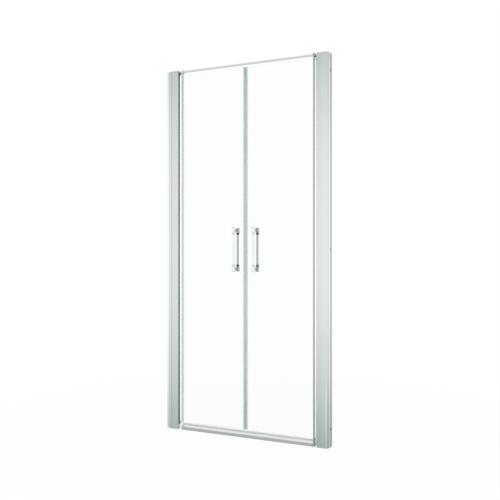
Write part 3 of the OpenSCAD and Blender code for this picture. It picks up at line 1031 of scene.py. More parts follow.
@dataclass(frozen=True)
class AnodisedAluminium(Finish):
    """Bright anodised aluminium, with the fine lines that an extrusion keeps along its length."""

    scale: Scale = (900.0, 900.0, 2.5)
    contrast: Point = (0.2, 0.8)
    roughness: float = 0.34
    gloss: Point = (0.85, 1.15)
    relief: Point = (0.12, 0.02 * MM)
    line_level: float = 0.965
    # Painted light and shade: the tones up the door, the bands, the shade on faces to the leaf, the
    # wall side's levels, the dim inside, the shade round wall holes and the glows stand in for how
    # light falls.
    foot: Color = paint(160, 172, 169)
    middle: Color = paint(227, 230, 230)
    head: Color = paint(193, 200, 197)
    facing_limit: float = 0.85
    lit_foot: float = 20.0 * MM
    leaf_side: Color | None = None
    bands: tuple[Band, ...] = ()
    band_full: float = 0.22
    band_faded: float = 0.36
    wall_levels: tuple[float, float, float] | None = None
    cavity_level: float = 1.0
    cavity_out: float = 452.3 * MM
    cavity_half: float = 19.8 * MM
    hole_heights: tuple[float, ...] = ()
    rim_reach: float = 7.4 * MM
    rim_softness: float = 1.0 * MM
    rim_level: float = 0.22
    top_glow: float = 0.0
    glow: float = 0.0

    def build(self, bench: NodeBench, shader: bpy.types.Node) -> None:
        """Fills in the material's nodes.

        Args:
            bench: The material's bench.
            shader: Its shader.
        """
        # Painted shade: darker towards the foot and the head.
        color = self.up_the_door(bench, self.middle, self.foot, self.head)
        # Painted highlights and shade in upright bands.
        for band in self.bands:
            mask = EFFECTS.place(
                bench, Effect.BAND, "band", From=band.start, To=band.end, Softness=band.softness,
                Full_Height=self.band_full, Faded_Height=self.band_faded,
                Faded_Share=band.head_share)["Mask"]
            color = bench.multiply("band tone", mask, color, band.level)
        facing = EFFECTS.place(
            bench, Effect.FACING, "ways that faces look", Limit=self.facing_limit, Floor=self.lit_foot)
        # Painted shade on faces that look to the leaf, above a lit foot.
        if self.leaf_side:
            color = bench.multiply("leaf side", facing["Inwards"], color, self.leaf_side)
        # Painted light and shade on the wall side: a lit front corner, a shade, and the back.
        if self.wall_levels:
            front, middle, back = self.wall_levels
            levels = EFFECTS.place(
                bench, Effect.DEPTH_LEVEL, "wall side levels", Front=front, Middle=middle, Back=back)
            color = bench.multiply("wall side", facing["Outwards"], color, levels["Level"])
        # Painted shade inside the profile, where little light comes.
        if self.cavity_level < 1.0:
            inside = EFFECTS.place(
                bench, Effect.CAVITY, "inside", Out=self.cavity_out, Half=self.cavity_half)
            color = bench.multiply("dim inside", inside["Mask"], color, self.cavity_level)
        # Painted shade round each wall hole.
        for height in self.hole_heights:
            rim = EFFECTS.place(
                bench, Effect.RIM, "hole rim", Centre=(0.0, 0.0, height), Reach=self.rim_reach,
                Softness=self.rim_softness)
            color = bench.multiply("rim tone", rim["Mask"], color, self.rim_level)
        # Painted light: upward faces glow white, though they are no lamp.
        if self.top_glow > 0.0:
            lit = bench.mix("lit top", facing["Upwards"], BLACK, WHITE)
            bench.fill(shader, Emission_Color=lit, Emission_Strength=self.top_glow)
        # Painted light: the whole piece glows in its own colour.
        elif self.glow > 0.0:
            bench.fill(shader, Emission_Color=color, Emission_Strength=self.glow)
        tone = self.tone(bench, self.pattern(bench, shader))
        lines = bench.mix("lines", tone, (self.line_level,) * 3, WHITE)
        bench.fill(shader, Base_Color=bench.multiply("lined tone", 1.0, color, lines), Metallic=1.0)


@dataclass(frozen=True)
class Patch:
    """A part of a turned piece with a painted reflection: a tone that stands in for what polished metal
    mirrors.

    It lies between two distances above and below the piece's middle, and where the surface's turn
    across the door, from -1 to 1, is between two values.
    """

    near: float
    far: float
    color: Color
    start: float = -2.0
    end: float = 2.0


@dataclass(frozen=True)
class PolishedMetal(Finish):
    """Chrome or steel, polished or brushed."""

    scale: Scale = (60.0, 60.0, 700.0)
    detail: float = 2.0
    roughness: float = 0.12
    gloss: Point = (0.8, 1.3)
    mark_level: float = 0.93
    color: Color = paint(196, 201, 201)
    middle_height: float = 0.0
    patches: tuple[Patch, ...] = ()
    softness: float = 0.12
    # The direction in plan against which the painted reflections are laid out.
    across: tuple[float, float, float] = (0.906, 0.424, 0.0)

    def build(self, bench: NodeBench, shader: bpy.types.Node) -> None:
        """Fills in the material's nodes.

        Args:
            bench: The material's bench.
            shader: Its shader.
        """
        darker = tuple(self.mark_level * channel for channel in self.color)
        tone = self.tone(bench, self.pattern(bench, shader))
        color = bench.mix("marks", tone, darker, self.color)
        # Painted reflections: patches of lighter and darker tone where polished metal would mirror the
        # room.
        for patch in self.patches:
            mask = EFFECTS.place(
                bench, Effect.PATCH, "patch", Across=self.across, Middle_Height=self.middle_height,
                Near=patch.near, Far=patch.far, From=patch.start, To=patch.end,
                Softness=self.softness)["Mask"]
            color = bench.mix("patch tone", mask, color, patch.color)
        bench.fill(shader, Base_Color=color, Metallic=1.0)


@dataclass(frozen=True)
class ClearGlass(Finish):
    """Toughened clear glass with the faint green of its iron."""

    scale: Scale = (3.0, 3.0, 2.0)
    detail: float = 1.0
    contrast: Point = (0.0, 1.0)
    roughness: float = 0.01
    gloss: Point = (0.0, 1.0)
    tint: Color = paint(252, 255, 254)
    wave_level: float = 0.99
    ior: float = 1.5

    def build(self, bench: NodeBench, shader: bpy.types.Node) -> None:
        """Fills in the material's nodes.

        Args:
            bench: The material's bench.
            shader: Its shader.
        """
        deeper = tuple(self.wave_level * channel for channel in self.tint)
        color = bench.mix("tint", self.pattern(bench, shader), deeper, self.tint)
        bench.fill(shader, Base_Color=color, Transmission_Weight=1.0, IOR=self.ior)


@dataclass(frozen=True)
class ClearPlastic(Finish):
    """Soft clear plastic of the seals and washers, a little cloudy along its length."""

    scale: Scale = (120.0, 120.0, 9.0)
    detail: float = 2.0
    roughness: float = 0.22
    gloss: Point = (1.2, 0.8)
    relief: Point = (0.05, 0.1 * MM)
    color: Color = paint(226, 236, 233)
    # The darker ends are painted shade, and the glow is painted light.
    ends: Color | None = None
    cloud: Color = (0.88, 0.9, 0.9)
    alpha: float = 0.4
    cloud_alpha: Point = (1.08, 0.92)
    lip_alpha: float = 0.1
    solid_out: float = 1.0
    solid_height: float = 0.0
    solid_reach: float = 3.0
    softness: float = 0.4 * MM
    glow: float = 0.0

    def build(self, bench: NodeBench, shader: bpy.types.Node) -> None:
        """Fills in the material's nodes.

        Args:
            bench: The material's bench.
            shader: Its shader.
        """
        clouds = self.pattern(bench, shader)
        # Painted shade: darker towards the ends.
        clear = self.up_the_door(bench, self.color, self.ends, self.ends)
        cloudy = bench.multiply("cloud tone", 1.0, clear, self.cloud)
        color = bench.mix("cloudy", self.tone(bench, clouds), cloudy, clear)
        body = EFFECTS.place(
            bench, Effect.SOLID, "body without lips", Out=self.solid_out, Height=self.solid_height,
            Reach=self.solid_reach, Softness=self.softness)["Mask"]
        dense, thin = (self.alpha * factor for factor in self.cloud_alpha)
        varied = bench.ramp("cloud alpha", clouds, *self.contrast, dense, thin)
        alpha = bench.ramp("alpha", body, 0.0, 1.0, self.lip_alpha, varied)
        # Painted light: the plastic glows in its own colour.
        bench.fill(
            shader, Base_Color=color, Alpha=alpha, Emission_Color=color, Emission_Strength=self.glow)


@dataclass(frozen=True)
class Moulding(Finish):
    """Moulded plastic or rubber with a fine eroded texture, whose part farther out may be painted
    lighter as light or darker as shade.
    """

    scale: Scale = (1800.0, 1800.0, 1800.0)
    roughness: float = 0.45
    gloss: Point = (1.1, 0.9)
    relief: Point = (0.25, 0.03 * MM)
    color: Color = paint(150, 154, 155)
    # The darker ends, the outer part's tone and the glow are painted light and shade.
    ends: Color | None = None
    speck_level: float = 0.9
    outer_color: Color | None = None
    outer_from: float = 0.0
    outer_softness: float = 0.3 * MM
    glow: float = 0.0

    def build(self, bench: NodeBench, shader: bpy.types.Node) -> None:
        """Fills in the material's nodes.

        Args:
            bench: The material's bench.
            shader: Its shader.
        """
        # Painted shade: darker towards the ends.
        plain = self.up_the_door(bench, self.color, self.ends, self.ends)
        darker = bench.multiply("speck tone", 1.0, plain, self.speck_level)
        tone = self.tone(bench, self.pattern(bench, shader))
        color = bench.mix("specks", tone, darker, plain)
        # Painted light and shade on the part farther out.
        if self.outer_color:
            mask = EFFECTS.place(
                bench, Effect.BAND, "outer part", From=self.outer_from, To=1.0,
                Softness=self.outer_softness, Full_Height=1.0, Faded_Height=2.0, Faded_Share=1.0)
            color = bench.mix("outer tone", mask["Mask"], color, self.outer_color)
        bench.fill(shader, Base_Color=color)
        # Painted light: the piece glows in its own colour.
        if self.glow > 0.0:
            bench.fill(shader, Emission_Color=color, Emission_Strength=self.glow)


BODIES = {
    node: body
    for body, nodes in frame["record"]["behaviour"]["bodies"].items() for node in nodes}


def stand_for(piece: Workpiece, node: str, finish: Finish) -> None:
    """Puts a modelled piece in the place of its CAD node.

    Args:
        piece: The finished piece, at its place.
        node: The CAD node that it stands for.
        finish: What it is made of.
    """
    piece.obj.name = piece.obj.data.name = f"{node}_detailed"
    piece.obj.data.materials.clear()
    piece.obj.data.materials.append(finish.material())
    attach(piece.obj, BODIES[node])
    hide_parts(node)
    LOG.info("%s: modelled, %d faces, %s", node, len(piece.obj.data.polygons), finish.name)


def settle(
        side: Side, name: str, piece: Workpiece, finish: Finish, edge: float = 0.0,
) -> None:
    """Mirrors a piece of a pair to its side, rounds its edges and puts it in its CAD node's place.

    Args:
        side: Its side of the door.
        name: Name of its CAD node, without the side.
        piece: The piece, modelled on the right side.
        finish: What it is made of.
        edge: How wide its edges are rounded, or 0 for not at all.
    """
    if side is Side.LEFT:
        piece.mirror(Mirror.LEFT_RIGHT)
    if edge > 0.0:
        piece.round_edges(edge)
    stand_for(piece.shade(), side.node(name), finish)


def dress(node: str, finish: Finish) -> None:
    """Gives a CAD node that shows as it is its finish.

    Args:
        node: The CAD node.
        finish: What it is made of.
    """
    obj = frame["nodes"][node]
    if not obj.material_slots:
        obj.data.materials.append(finish.material())
    for slot in obj.material_slots:
        slot.material = finish.material()
    LOG.info("%s: kept, %s", node, finish.name)


PAST_THE_WALL = 480.0 * MM
LEAF_SHADE = (0.36, 0.38, 0.385)
LINES_ALONG = (2.5, 900.0, 900.0)
CAST_GRAIN = (500.0, 500.0, 500.0)
# Lit and shaded copies of one aluminium: each side's tones up the door, painted shade on faces to the
# leaf and painted highlight band stand in for how light falls.
PROFILES = {
    Side.LEFT: AnodisedAluminium(
        "left_frame_aluminium", foot=paint(177, 188, 185), head=paint(199, 206, 203),
        leaf_side=LEAF_SHADE),
    Side.RIGHT: AnodisedAluminium(
        "right_frame_aluminium", foot=paint(163, 175, 172), leaf_side=LEAF_SHADE,
        bands=(Band(407.0 * MM, PAST_THE_WALL, 1.07, 14.0 * MM, 1.0),)),
}
WALL_HOLES = (91.0 * MM, 952.9 * MM, 1814.8 * MM)
# Painted light and shade on the channels: lit and shaded copies for each side, levels by depth on the
# wall side, a dim inside, shade round the wall holes, and bands of painted highlight and shade.
CHANNELS = {
    Side.LEFT: AnodisedAluminium(
        "left_channel_aluminium", foot=paint(180, 191, 188), head=paint(201, 208, 205),
        wall_levels=(1.02, 0.58, 0.66), cavity_level=0.1, hole_heights=WALL_HOLES,
        bands=(Band(437.7 * MM, PAST_THE_WALL, 1.03, head_share=1.0),
               Band(443.3 * MM, PAST_THE_WALL, 1.23, head_share=1.0))),
    Side.RIGHT: AnodisedAluminium(
        "right_channel_aluminium", foot=paint(163, 175, 172), wall_levels=(1.02, 0.57, 0.67),
        cavity_level=0.1, hole_heights=WALL_HOLES,
        bands=(Band(400.0 * MM, PAST_THE_WALL, 1.07, head_share=1.0),
               Band(425.5 * MM, 430.5 * MM, 0.95), Band(430.5 * MM, 440.7 * MM, 1.18),
               Band(440.7 * MM, 450.5 * MM, 0.9),
               Band(445.7 * MM, 450.7 * MM, 0.94, head_share=1.0),
               Band(450.7 * MM, PAST_THE_WALL, 1.14, head_share=1.0))),
}
# Lit and shaded copies of one aluminium: the left stile is painted lighter than the right, and both
# darker towards the foot and the head.
STILES = {
    Side.LEFT: AnodisedAluminium(
        "left_stile_aluminium", foot=paint(203, 207, 206), middle=paint(214, 218, 217),
        head=paint(184, 189, 189)),
    Side.RIGHT: AnodisedAluminium(
        "right_stile_aluminium", foot=paint(158, 162, 161), middle=paint(181, 184, 183),
        head=paint(167, 171, 170)),
}
# Lit and shaded copies: painted highlight bands on the outer part, and a painted glow on the left ones.
SHOES = {
    Side.LEFT: AnodisedAluminium(
        "left_shoe_aluminium", foot=paint(198, 202, 201), middle=paint(198, 202, 201),
        head=paint(182, 186, 185), bands=(Band(371.3 * MM, PAST_THE_WALL, 1.45, head_share=1.0),),
        glow=0.4, scale=CAST_GRAIN, roughness=0.4),
    Side.RIGHT: AnodisedAluminium(
        "right_shoe_aluminium", foot=paint(144, 148, 147), middle=paint(150, 154, 153),
        head=paint(166, 170, 169), bands=(Band(375.0 * MM, PAST_THE_WALL, 2.4, head_share=1.0),),
        scale=CAST_GRAIN, roughness=0.4),
}
# Painted light: the sill's top glows white, and its foot is painted darker.
SILL = AnodisedAluminium(
    "sill_aluminium", foot=paint(176, 180, 179), middle=paint(196, 200, 199), head=paint(196, 200, 200),
    scale=LINES_ALONG, top_glow=0.3)
# Painted shade: a little darker towards the head.
RAIL = AnodisedAluminium(
    "rail_aluminium", foot=paint(216, 219, 218), middle=paint(216, 219, 218), head=paint(213, 216, 215),
    scale=LINES_ALONG)
GLASS = ClearGlass("clear_glass")
# Painted shade: darker towards the ends.
CLOSING_SEAL = ClearPlastic(
    "closing_seal_plastic", color=paint(214, 222, 219), ends=paint(190, 206, 201), alpha=0.45,
    lip_alpha=0.16, solid_out=4.8 * MM, softness=1.8 * MM)
# Lit and shaded copies: both seals glow with painted light, and are painted darker towards their ends.
HINGE_SEALS = {
    Side.LEFT: ClearPlastic(
        "left_hinge_seal_plastic", color=paint(254, 255, 255), cloud=(0.98, 0.99, 0.99),
        ends=paint(247, 249, 249), alpha=0.9, glow=0.3),
    Side.RIGHT: ClearPlastic(
        "right_hinge_seal_plastic", color=paint(254, 255, 255), cloud=(0.97, 0.98, 0.98),
        ends=paint(224, 230, 228), alpha=0.9, glow=0.25),
}
DRIP_SEAL = ClearPlastic(
    "drip_seal_plastic", color=paint(206, 216, 213), alpha=0.28, lip_alpha=0.03,
    solid_height=25.0 * MM, solid_reach=5.2 * MM, scale=(9.0, 120.0, 120.0))
WASHER = ClearPlastic("washer_plastic", color=paint(225, 232, 230), alpha=0.5)
# Lit and shaded copies: the outer part is painted lighter, and the pieces glow with painted light.
LOWER_PIVOTS = {
    Side.LEFT: Moulding(
        "left_lower_pivot_plastic", color=paint(186, 191, 190), outer_color=paint(238, 241, 240),
        outer_from=371.3 * MM, glow=0.3),
    Side.RIGHT: Moulding(
        "right_lower_pivot_plastic", color=paint(150, 155, 154), outer_color=paint(196, 200, 199),
        outer_from=374.7 * MM, glow=0.25),
}
# Lit and shaded copies: the outer part is painted darker as shade, and the left one glows a little with
# painted light.
UPPER_PIVOTS = {
    Side.LEFT: Moulding(
        "left_upper_pivot_plastic", color=paint(214, 218, 218), outer_color=paint(150, 154, 155),
        outer_from=374.7 * MM, glow=0.08),
    Side.RIGHT: Moulding(
        "right_upper_pivot_plastic", color=paint(166, 171, 171), outer_color=paint(84, 87, 88),
        outer_from=374.7 * MM),
}
CAP = Moulding("cap_plastic", color=paint(188, 193, 193), roughness=0.4)
SCREW_CAP = Moulding("screw_cap_plastic", color=paint(150, 155, 156), roughness=0.4)
NYLON = Moulding("bush_nylon", color=paint(232, 231, 226), roughness=0.35)
# Painted light: the gasket glows in its own pale colour.
GASKET = Moulding(
    "stile_gasket_rubber", color=paint(236, 240, 239), glow=0.3, roughness=0.7,
    relief=(0.4, 0.03 * MM))
# Painted light and shade: the magnet glows, and is painted darker towards its ends.
MAGNET = Moulding(
    "magnet_strip_rubber", color=paint(227, 232, 230), ends=paint(198, 211, 206), glow=0.37,
    roughness=0.6)
STEEL = PolishedMetal(
    "screw_steel", color=paint(186, 190, 191), roughness=0.28, scale=(900.0, 900.0, 900.0))
POST = PolishedMetal("post_chrome", color=paint(176, 181, 182), roughness=0.14)


@dataclass
class SideProfile:
    """One side of the frame: the channel on the wall, and the side frame that slides in it."""

    side: Side
    flange: float = 1.6 * MM
    back: float = 2.0 * MM
    bevel: float = 11.0 * MM
    bevel_drop: float = 0.6 * MM
    groove_from_wall: float = 9.0 * MM
    groove: float = 1.2 * MM
    groove_depth: float = 0.5 * MM
    hole_radius: float = 4.5 * MM
    hole_inset: float = 91.0 * MM
    screw_inset: float = 150.0 * MM
    slot_radius: float = 2.2 * MM
    travel: float = 6.0 * MM
    nose: float = 2.0 * MM
    web_from_leaf: float = 26.0 * MM
    corner: float = 1.0 * MM
    cap: float = 3.0 * MM
    access_radius: float = 3.5 * MM
    access_rise: float = 20.5 * MM
    access_drop: float = 11.5 * MM
    pivot_screw_out: float = 5.5 * MM
    pivot_screw_radius: float = 1.6 * MM
    adjust_screw_radius: float = 2.0 * MM
    skirt_from_leaf: float = 4.3 * MM
    screw_cap_rim: float = 1.5 * MM
    channel_edge: float = 0.25 * MM
    frame_edge: float = 0.2 * MM
    cap_edge: float = 0.5 * MM
    screw_cap_edge: float = 0.2 * MM
    channel_box: Box = field(default_factory=lambda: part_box("right_wall_channel"))
    frame_box: Box = field(default_factory=lambda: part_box("right_side_frame"))
    cap_box: Box = field(default_factory=lambda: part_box("right_frame_cap"))
    caps_box: Box = field(default_factory=lambda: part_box("right_screw_caps"))

    @property
    def screw_x(self) -> float:
        """Gives the place of the adjusting screws along the door."""
        return (self.caps_box[0].x + self.caps_box[1].x) / 2

    def along_height(self, inset: float) -> list[float]:
        """Gives the heights an inset above the door's foot, halfway, and an inset below its head."""
        foot, head = self.frame_box[0].z, self.cap_box[1].z
        return [foot + inset, (foot + head) / 2, head - inset]

    def channel(self) -> Workpiece:
        """Models the channel that is screwed to the wall.

        Returns:
            The channel.
        """
        low, high = self.channel_box
        groove_x = high.x - self.groove_from_wall
        outline = [
            (high.x, low.y), (groove_x + self.groove, low.y),
            (groove_x + self.groove / 2, low.y + self.groove_depth), (groove_x, low.y),
            (low.x + self.bevel, low.y), (low.x, low.y + self.bevel_drop),
            (low.x, low.y + self.flange), (high.x - self.back, low.y + self.flange),
            (high.x - self.back, high.y - self.flange), (low.x, high.y - self.flange),
            (low.x, high.y), (high.x, high.y)]
        piece = Workpiece.extrusion("channel", Run.UP, [outline], low.z, high.z)
        holes = [
            Workpiece.rod(
                (high.x - self.back - REACH, 0.0, z), (high.x + REACH, 0.0, z), self.hole_radius)
            for z in self.along_height(self.hole_inset)]
        slots = [self.slot(z) for z in self.along_height(self.screw_inset)]
        return piece.cut(*holes, *slots)

    def slot(self, z: float) -> Workpiece:
        """Makes the cutter of one adjusting slot, in the channel's inner flange.

        Args:
            z: The slot's height.

        Returns:
            The cutter.
        """
        face = self.channel_box[1].y
        ends = [*arc((self.screw_x + self.travel, z), self.slot_radius, -90.0, 90.0),
                *arc((self.screw_x - self.travel, z), self.slot_radius, 90.0, 270.0)]
        return Workpiece.extrusion(
            "slot", Run.THROUGH, [ends], face - self.flange - REACH / 2, face + REACH)

    def rounded_by_leaf(self, box: Box, wall_side: Sequence[Point]) -> list[Point]:
        """Draws an outline with rounded corners beside the leaf.

        Args:
            box: The lowest and highest corners of what is drawn.
            wall_side: Points of the outline beside the wall.

        Returns:
            The outline's points.
        """
        low, high = box
        r = self.corner
        return [
            *arc((low.x + r, low.y + r), r, 180.0, 270.0, CORNER_STEPS), *wall_side,
            *arc((low.x + r, high.y - r), r, 90.0, 180.0, CORNER_STEPS)]

    def side_frame(self) -> Workpiece:
        """Models the side frame, with its screw holes and the holes that a driver goes through.

        Returns:
            The side frame.
        """
        low, high = self.frame_box
        web = low.x + self.web_from_leaf
        web_back = web + self.flange
        near, far = low.y + self.flange, high.y - self.flange
        outline = self.rounded_by_leaf(self.frame_box, [
            (high.x, low.y), (high.x, near), (web_back, near), (web_back, far), (high.x, far),
            (high.x, high.y)])
        hollow = rectangle(low.x + self.nose, near, web, far)
        piece = Workpiece.extrusion("side frame", Run.UP, [outline, hollow], low.z, high.z)
        holes = []
        for z in (low.z + self.access_rise, self.cap_box[1].z - self.access_drop):
            for y in (-self.pivot_screw_out, self.pivot_screw_out):
                holes.append(Workpiece.rod(
                    (low.x - REACH, y, z), (low.x + self.nose + REACH, y, z),
                    self.pivot_screw_radius, SMALL_BORE_SIDES))
                holes.append(Workpiece.rod(
                    (web - REACH, y, z), (web_back + REACH, y, z), self.access_radius))
        for z in self.along_height(self.screw_inset):
            holes.append(Workpiece.rod(
                (self.screw_x, far - REACH, z), (self.screw_x, high.y + REACH, z),
                self.adjust_screw_radius, BORE_SIDES))
        return piece.cut(*holes)

    def frame_cap(self) -> Workpiece:
        """Models the moulded cap that closes the side frame's top.

        Returns:
            The cap.
        """
        low, high = self.cap_box
        underside = high.z - self.cap
        outline = self.rounded_by_leaf(self.cap_box, [(high.x, low.y), (high.x, high.y)])
        piece = Workpiece.extrusion("cap", Run.UP, [outline], underside, high.z)
        left, right = low.x + self.skirt_from_leaf, low.x + self.web_from_leaf
        near, far = low.y + self.flange, high.y - self.flange
        wall = self.cap / 2
        outer = Workpiece.block("skirt", (left, near, low.z), (right, far, underside + REACH))
        inner = Workpiece.block(
            "skirt hollow", (left + wall, near + wall, low.z - REACH),
            (right - wall, far - wall, underside))
        return piece.add(outer.cut(inner))

    def screw_caps(self) -> Workpiece:
        """Models the snap caps over the adjusting screws.

        Returns:
            The caps, in one mesh.
        """
        low, high = self.caps_box
        rim = (high.x - low.x) / 2
        height = high.y - low.y
        head = height / 2
        outline = [
            (0.0, height), *arc((rim - head, head), head, 90.0, 0.0), (rim, 0.0),
            (rim - self.screw_cap_rim, 0.0), (rim - self.screw_cap_rim, head), (0.0, head)]
        places = [Vector((low.x + rim, low.y, z)) for z in self.along_height(self.screw_inset)]
        first = Workpiece.turning("screw cap", outline, places[0], INTO_SHOWER)
        return first.join(*[first.copy(place - places[0]) for place in places[1:]])

    def build(self) -> None:
        """Models and dresses this side of the frame."""
        settle(self.side, "wall_channel", self.channel(), CHANNELS[self.side], self.channel_edge)
        settle(self.side, "side_frame", self.side_frame(), PROFILES[self.side], self.frame_edge)
        settle(self.side, "frame_cap", self.frame_cap(), CAP, self.cap_edge)
        settle(self.side, "screw_caps", self.screw_caps(), SCREW_CAP, self.screw_cap_edge)
        dress(self.side.node("adjusting_screws"), STEEL)


@dataclass
class Crossbars:
    """What runs along the door: the sill on the tray and the rail over the leaves."""

    sill_wall: float = 1.8 * MM
    sill_hollow: float = 6.0 * MM
    sill_edge: float = 1.5 * MM
    screw_radius: float = 1.5 * MM
    sill_screw_out: float = 9.0 * MM
    rail_wall: float = 1.5 * MM
    rail_screw_in: float = 4.0 * MM
    port_sides: int = 24
    sill_end_edge: float = 0.2 * MM
    rail_end_edge: float = 0.3 * MM
    sill_box: Box = field(default_factory=lambda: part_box("sill"))
    rail_box: Box = field(default_factory=lambda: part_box("top_rail"))

    def sill(self) -> Workpiece:
        """Models the sill, a low hollow bar with rounded upper edges and two screw ports.

        Returns:
            The sill.
        """
        low, high = self.sill_box
        wall, half = self.sill_wall, self.sill_hollow
        outline = sill_outline(self.sill_box, self.sill_edge)
        hollow = rectangle(-half, low.z + wall, half, high.z - wall)
        middle = (low.z + high.z) / 2
        chords = self.port_sides - 1
        ports = [
            arc((y, middle), self.screw_radius, 0.0, 360.0 * chords / self.port_sides, chords)
            for y in (-self.sill_screw_out, self.sill_screw_out)]
        return Workpiece.extrusion("sill", Run.ALONG, [outline, hollow, *ports], low.x, high.x)

    def rail(self) -> Workpiece:
        """Models the top rail, a slim tube with a screw hole through each end.

        Returns:
            The rail.
        """
        low, high = self.rail_box
        wall = self.rail_wall
        outline = rectangle(low.y, low.z, high.y, high.z)
        hollow = rectangle(low.y + wall, low.z + wall, high.y - wall, high.z - wall)
        piece = Workpiece.extrusion("rail", Run.ALONG, [outline, hollow], low.x, high.x)
        holes = [
            Workpiece.rod((x, 0.0, low.z - REACH), (x, 0.0, high.z + REACH), self.screw_radius)
            for x in (low.x + self.rail_screw_in, high.x - self.rail_screw_in)]
        return piece.cut(*holes)

    def build(self) -> None:
        """Models and dresses the crossbars and their screws."""
        stand_for(self.sill().round_edges(self.sill_end_edge).shade(), "sill", SILL)
        stand_for(self.rail().round_edges(self.rail_end_edge).shade(), "top_rail", RAIL)
        for node in ("sill_screws", "rail_screws", "pivot_block_screws"):
            dress(node, STEEL)


@dataclass
class Pivots:
    """The moulded blocks at one side that hold the pins, the sill and the rail."""

    side: Side
    plate: float = 5.0 * MM
    plate_half: float = 8.0 * MM
    block_width: float = 10.0 * MM
    axis_from_frame: float = 8.0 * MM
    pin_radius: float = 3.0 * MM
    screw_radius: float = 1.5 * MM
    plate_screw_out: float = 5.5 * MM
    sill_screw_out: float = 9.0 * MM
    foot_half: float = 4.0 * MM
    foot_low: float = 5.0 * MM
    foot_high: float = 13.0 * MM
    rail_cheek: float = 2.0 * MM
    sill_edge: float = 1.5 * MM
    edge: float = 0.35 * MM
    lower_box: Box = field(default_factory=lambda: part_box("right_lower_pivot_block"))
    upper_box: Box = field(default_factory=lambda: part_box("right_upper_pivot_block"))
    sill_box: Box = field(default_factory=lambda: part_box("sill"))
    rail_box: Box = field(default_factory=lambda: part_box("top_rail"))

    def plate_bores(self, plate_low: float, block_side: float, frame_side: float) -> list[Workpiece]:
        """Makes the cutters of a plate's pin bore and of its two screw bores.

        Args:
            plate_low: Height of the plate's underside.
            block_side: Where the screws end.
            frame_side: Where the plate meets the side frame.

        Returns:
            The cutters.
        """
        axis = frame_side - self.axis_from_frame
        height = plate_low + self.plate / 2
        pin = Workpiece.rod(
            (axis, 0.0, plate_low - REACH), (axis, 0.0, plate_low + self.plate + REACH),
            self.pin_radius)
        screws = [
            Workpiece.rod((block_side, y, height), (frame_side + REACH, y, height),
                          self.screw_radius, SMALL_BORE_SIDES)
            for y in (-self.plate_screw_out, self.plate_screw_out)]
        return [pin, *screws]

    def lower_block(self) -> Workpiece:
        """Models the lower block: the sill's end, the plate with the pin's seat and a spacing foot.

        Returns:
            The block.
        """
        low, high = self.lower_box
        sill_low, sill_high = self.sill_box
        inner = low.x + self.block_width
        outline = sill_outline(self.sill_box, self.sill_edge)
        middle = (sill_low.z + sill_high.z) / 2
        piece = Workpiece.extrusion("lower block", Run.ALONG, [outline], low.x, inner)
        piece.add(
            Workpiece.block("riser", (low.x, -self.plate_half, middle),
                            (inner, self.plate_half, high.z)),
            Workpiece.block("plate", (low.x, -self.plate_half, high.z - self.plate),
                            (high.x, self.plate_half, high.z)),
            Workpiece.block("foot", (low.x, -self.foot_half, self.foot_low),
                            (high.x, self.foot_half, self.foot_high)))
        sill_bores = [
            Workpiece.rod((low.x - REACH, y, middle), (inner + REACH, y, middle),
                          self.screw_radius, SMALL_BORE_SIDES)
            for y in (-self.sill_screw_out, self.sill_screw_out)]
        return piece.cut(*self.plate_bores(high.z - self.plate, inner, high.x), *sill_bores)

    def upper_block(self) -> Workpiece:
        """Models the upper block: the rail's pocket and the plate that holds the upper pin.

        Returns:
            The block.
        """
        low, high = self.upper_box
        rail_low, rail_high = self.rail_box
        inner = low.x + self.block_width
        half = rail_high.y + self.rail_cheek
        piece = Workpiece.block("upper block", (low.x, -half, low.z), (inner, half, high.z))
        piece.add(Workpiece.block(
            "plate", (low.x, -self.plate_half, low.z), (high.x, self.plate_half, low.z + self.plate)))
        pocket = Workpiece.block(
            "pocket", (low.x - REACH, rail_low.y, rail_low.z), (rail_high.x, rail_high.y, rail_high.z))
        middle = (low.x + rail_high.x) / 2
        screw = Workpiece.rod(
            (middle, 0.0, rail_high.z - REACH), (middle, 0.0, high.z + REACH), self.screw_radius,
            SMALL_BORE_SIDES)
        return piece.cut(pocket, screw, *self.plate_bores(low.z, inner, high.x))

    def build(self) -> None:
        """Models and dresses the blocks and the pins."""
        lower, upper = self.lower_block(), self.upper_block()
        settle(self.side, "lower_pivot_block", lower, LOWER_PIVOTS[self.side], self.edge)
        settle(self.side, "upper_pivot_block", upper, UPPER_PIVOTS[self.side], self.edge)
        dress(self.side.node("pivot_pins"), STEEL)


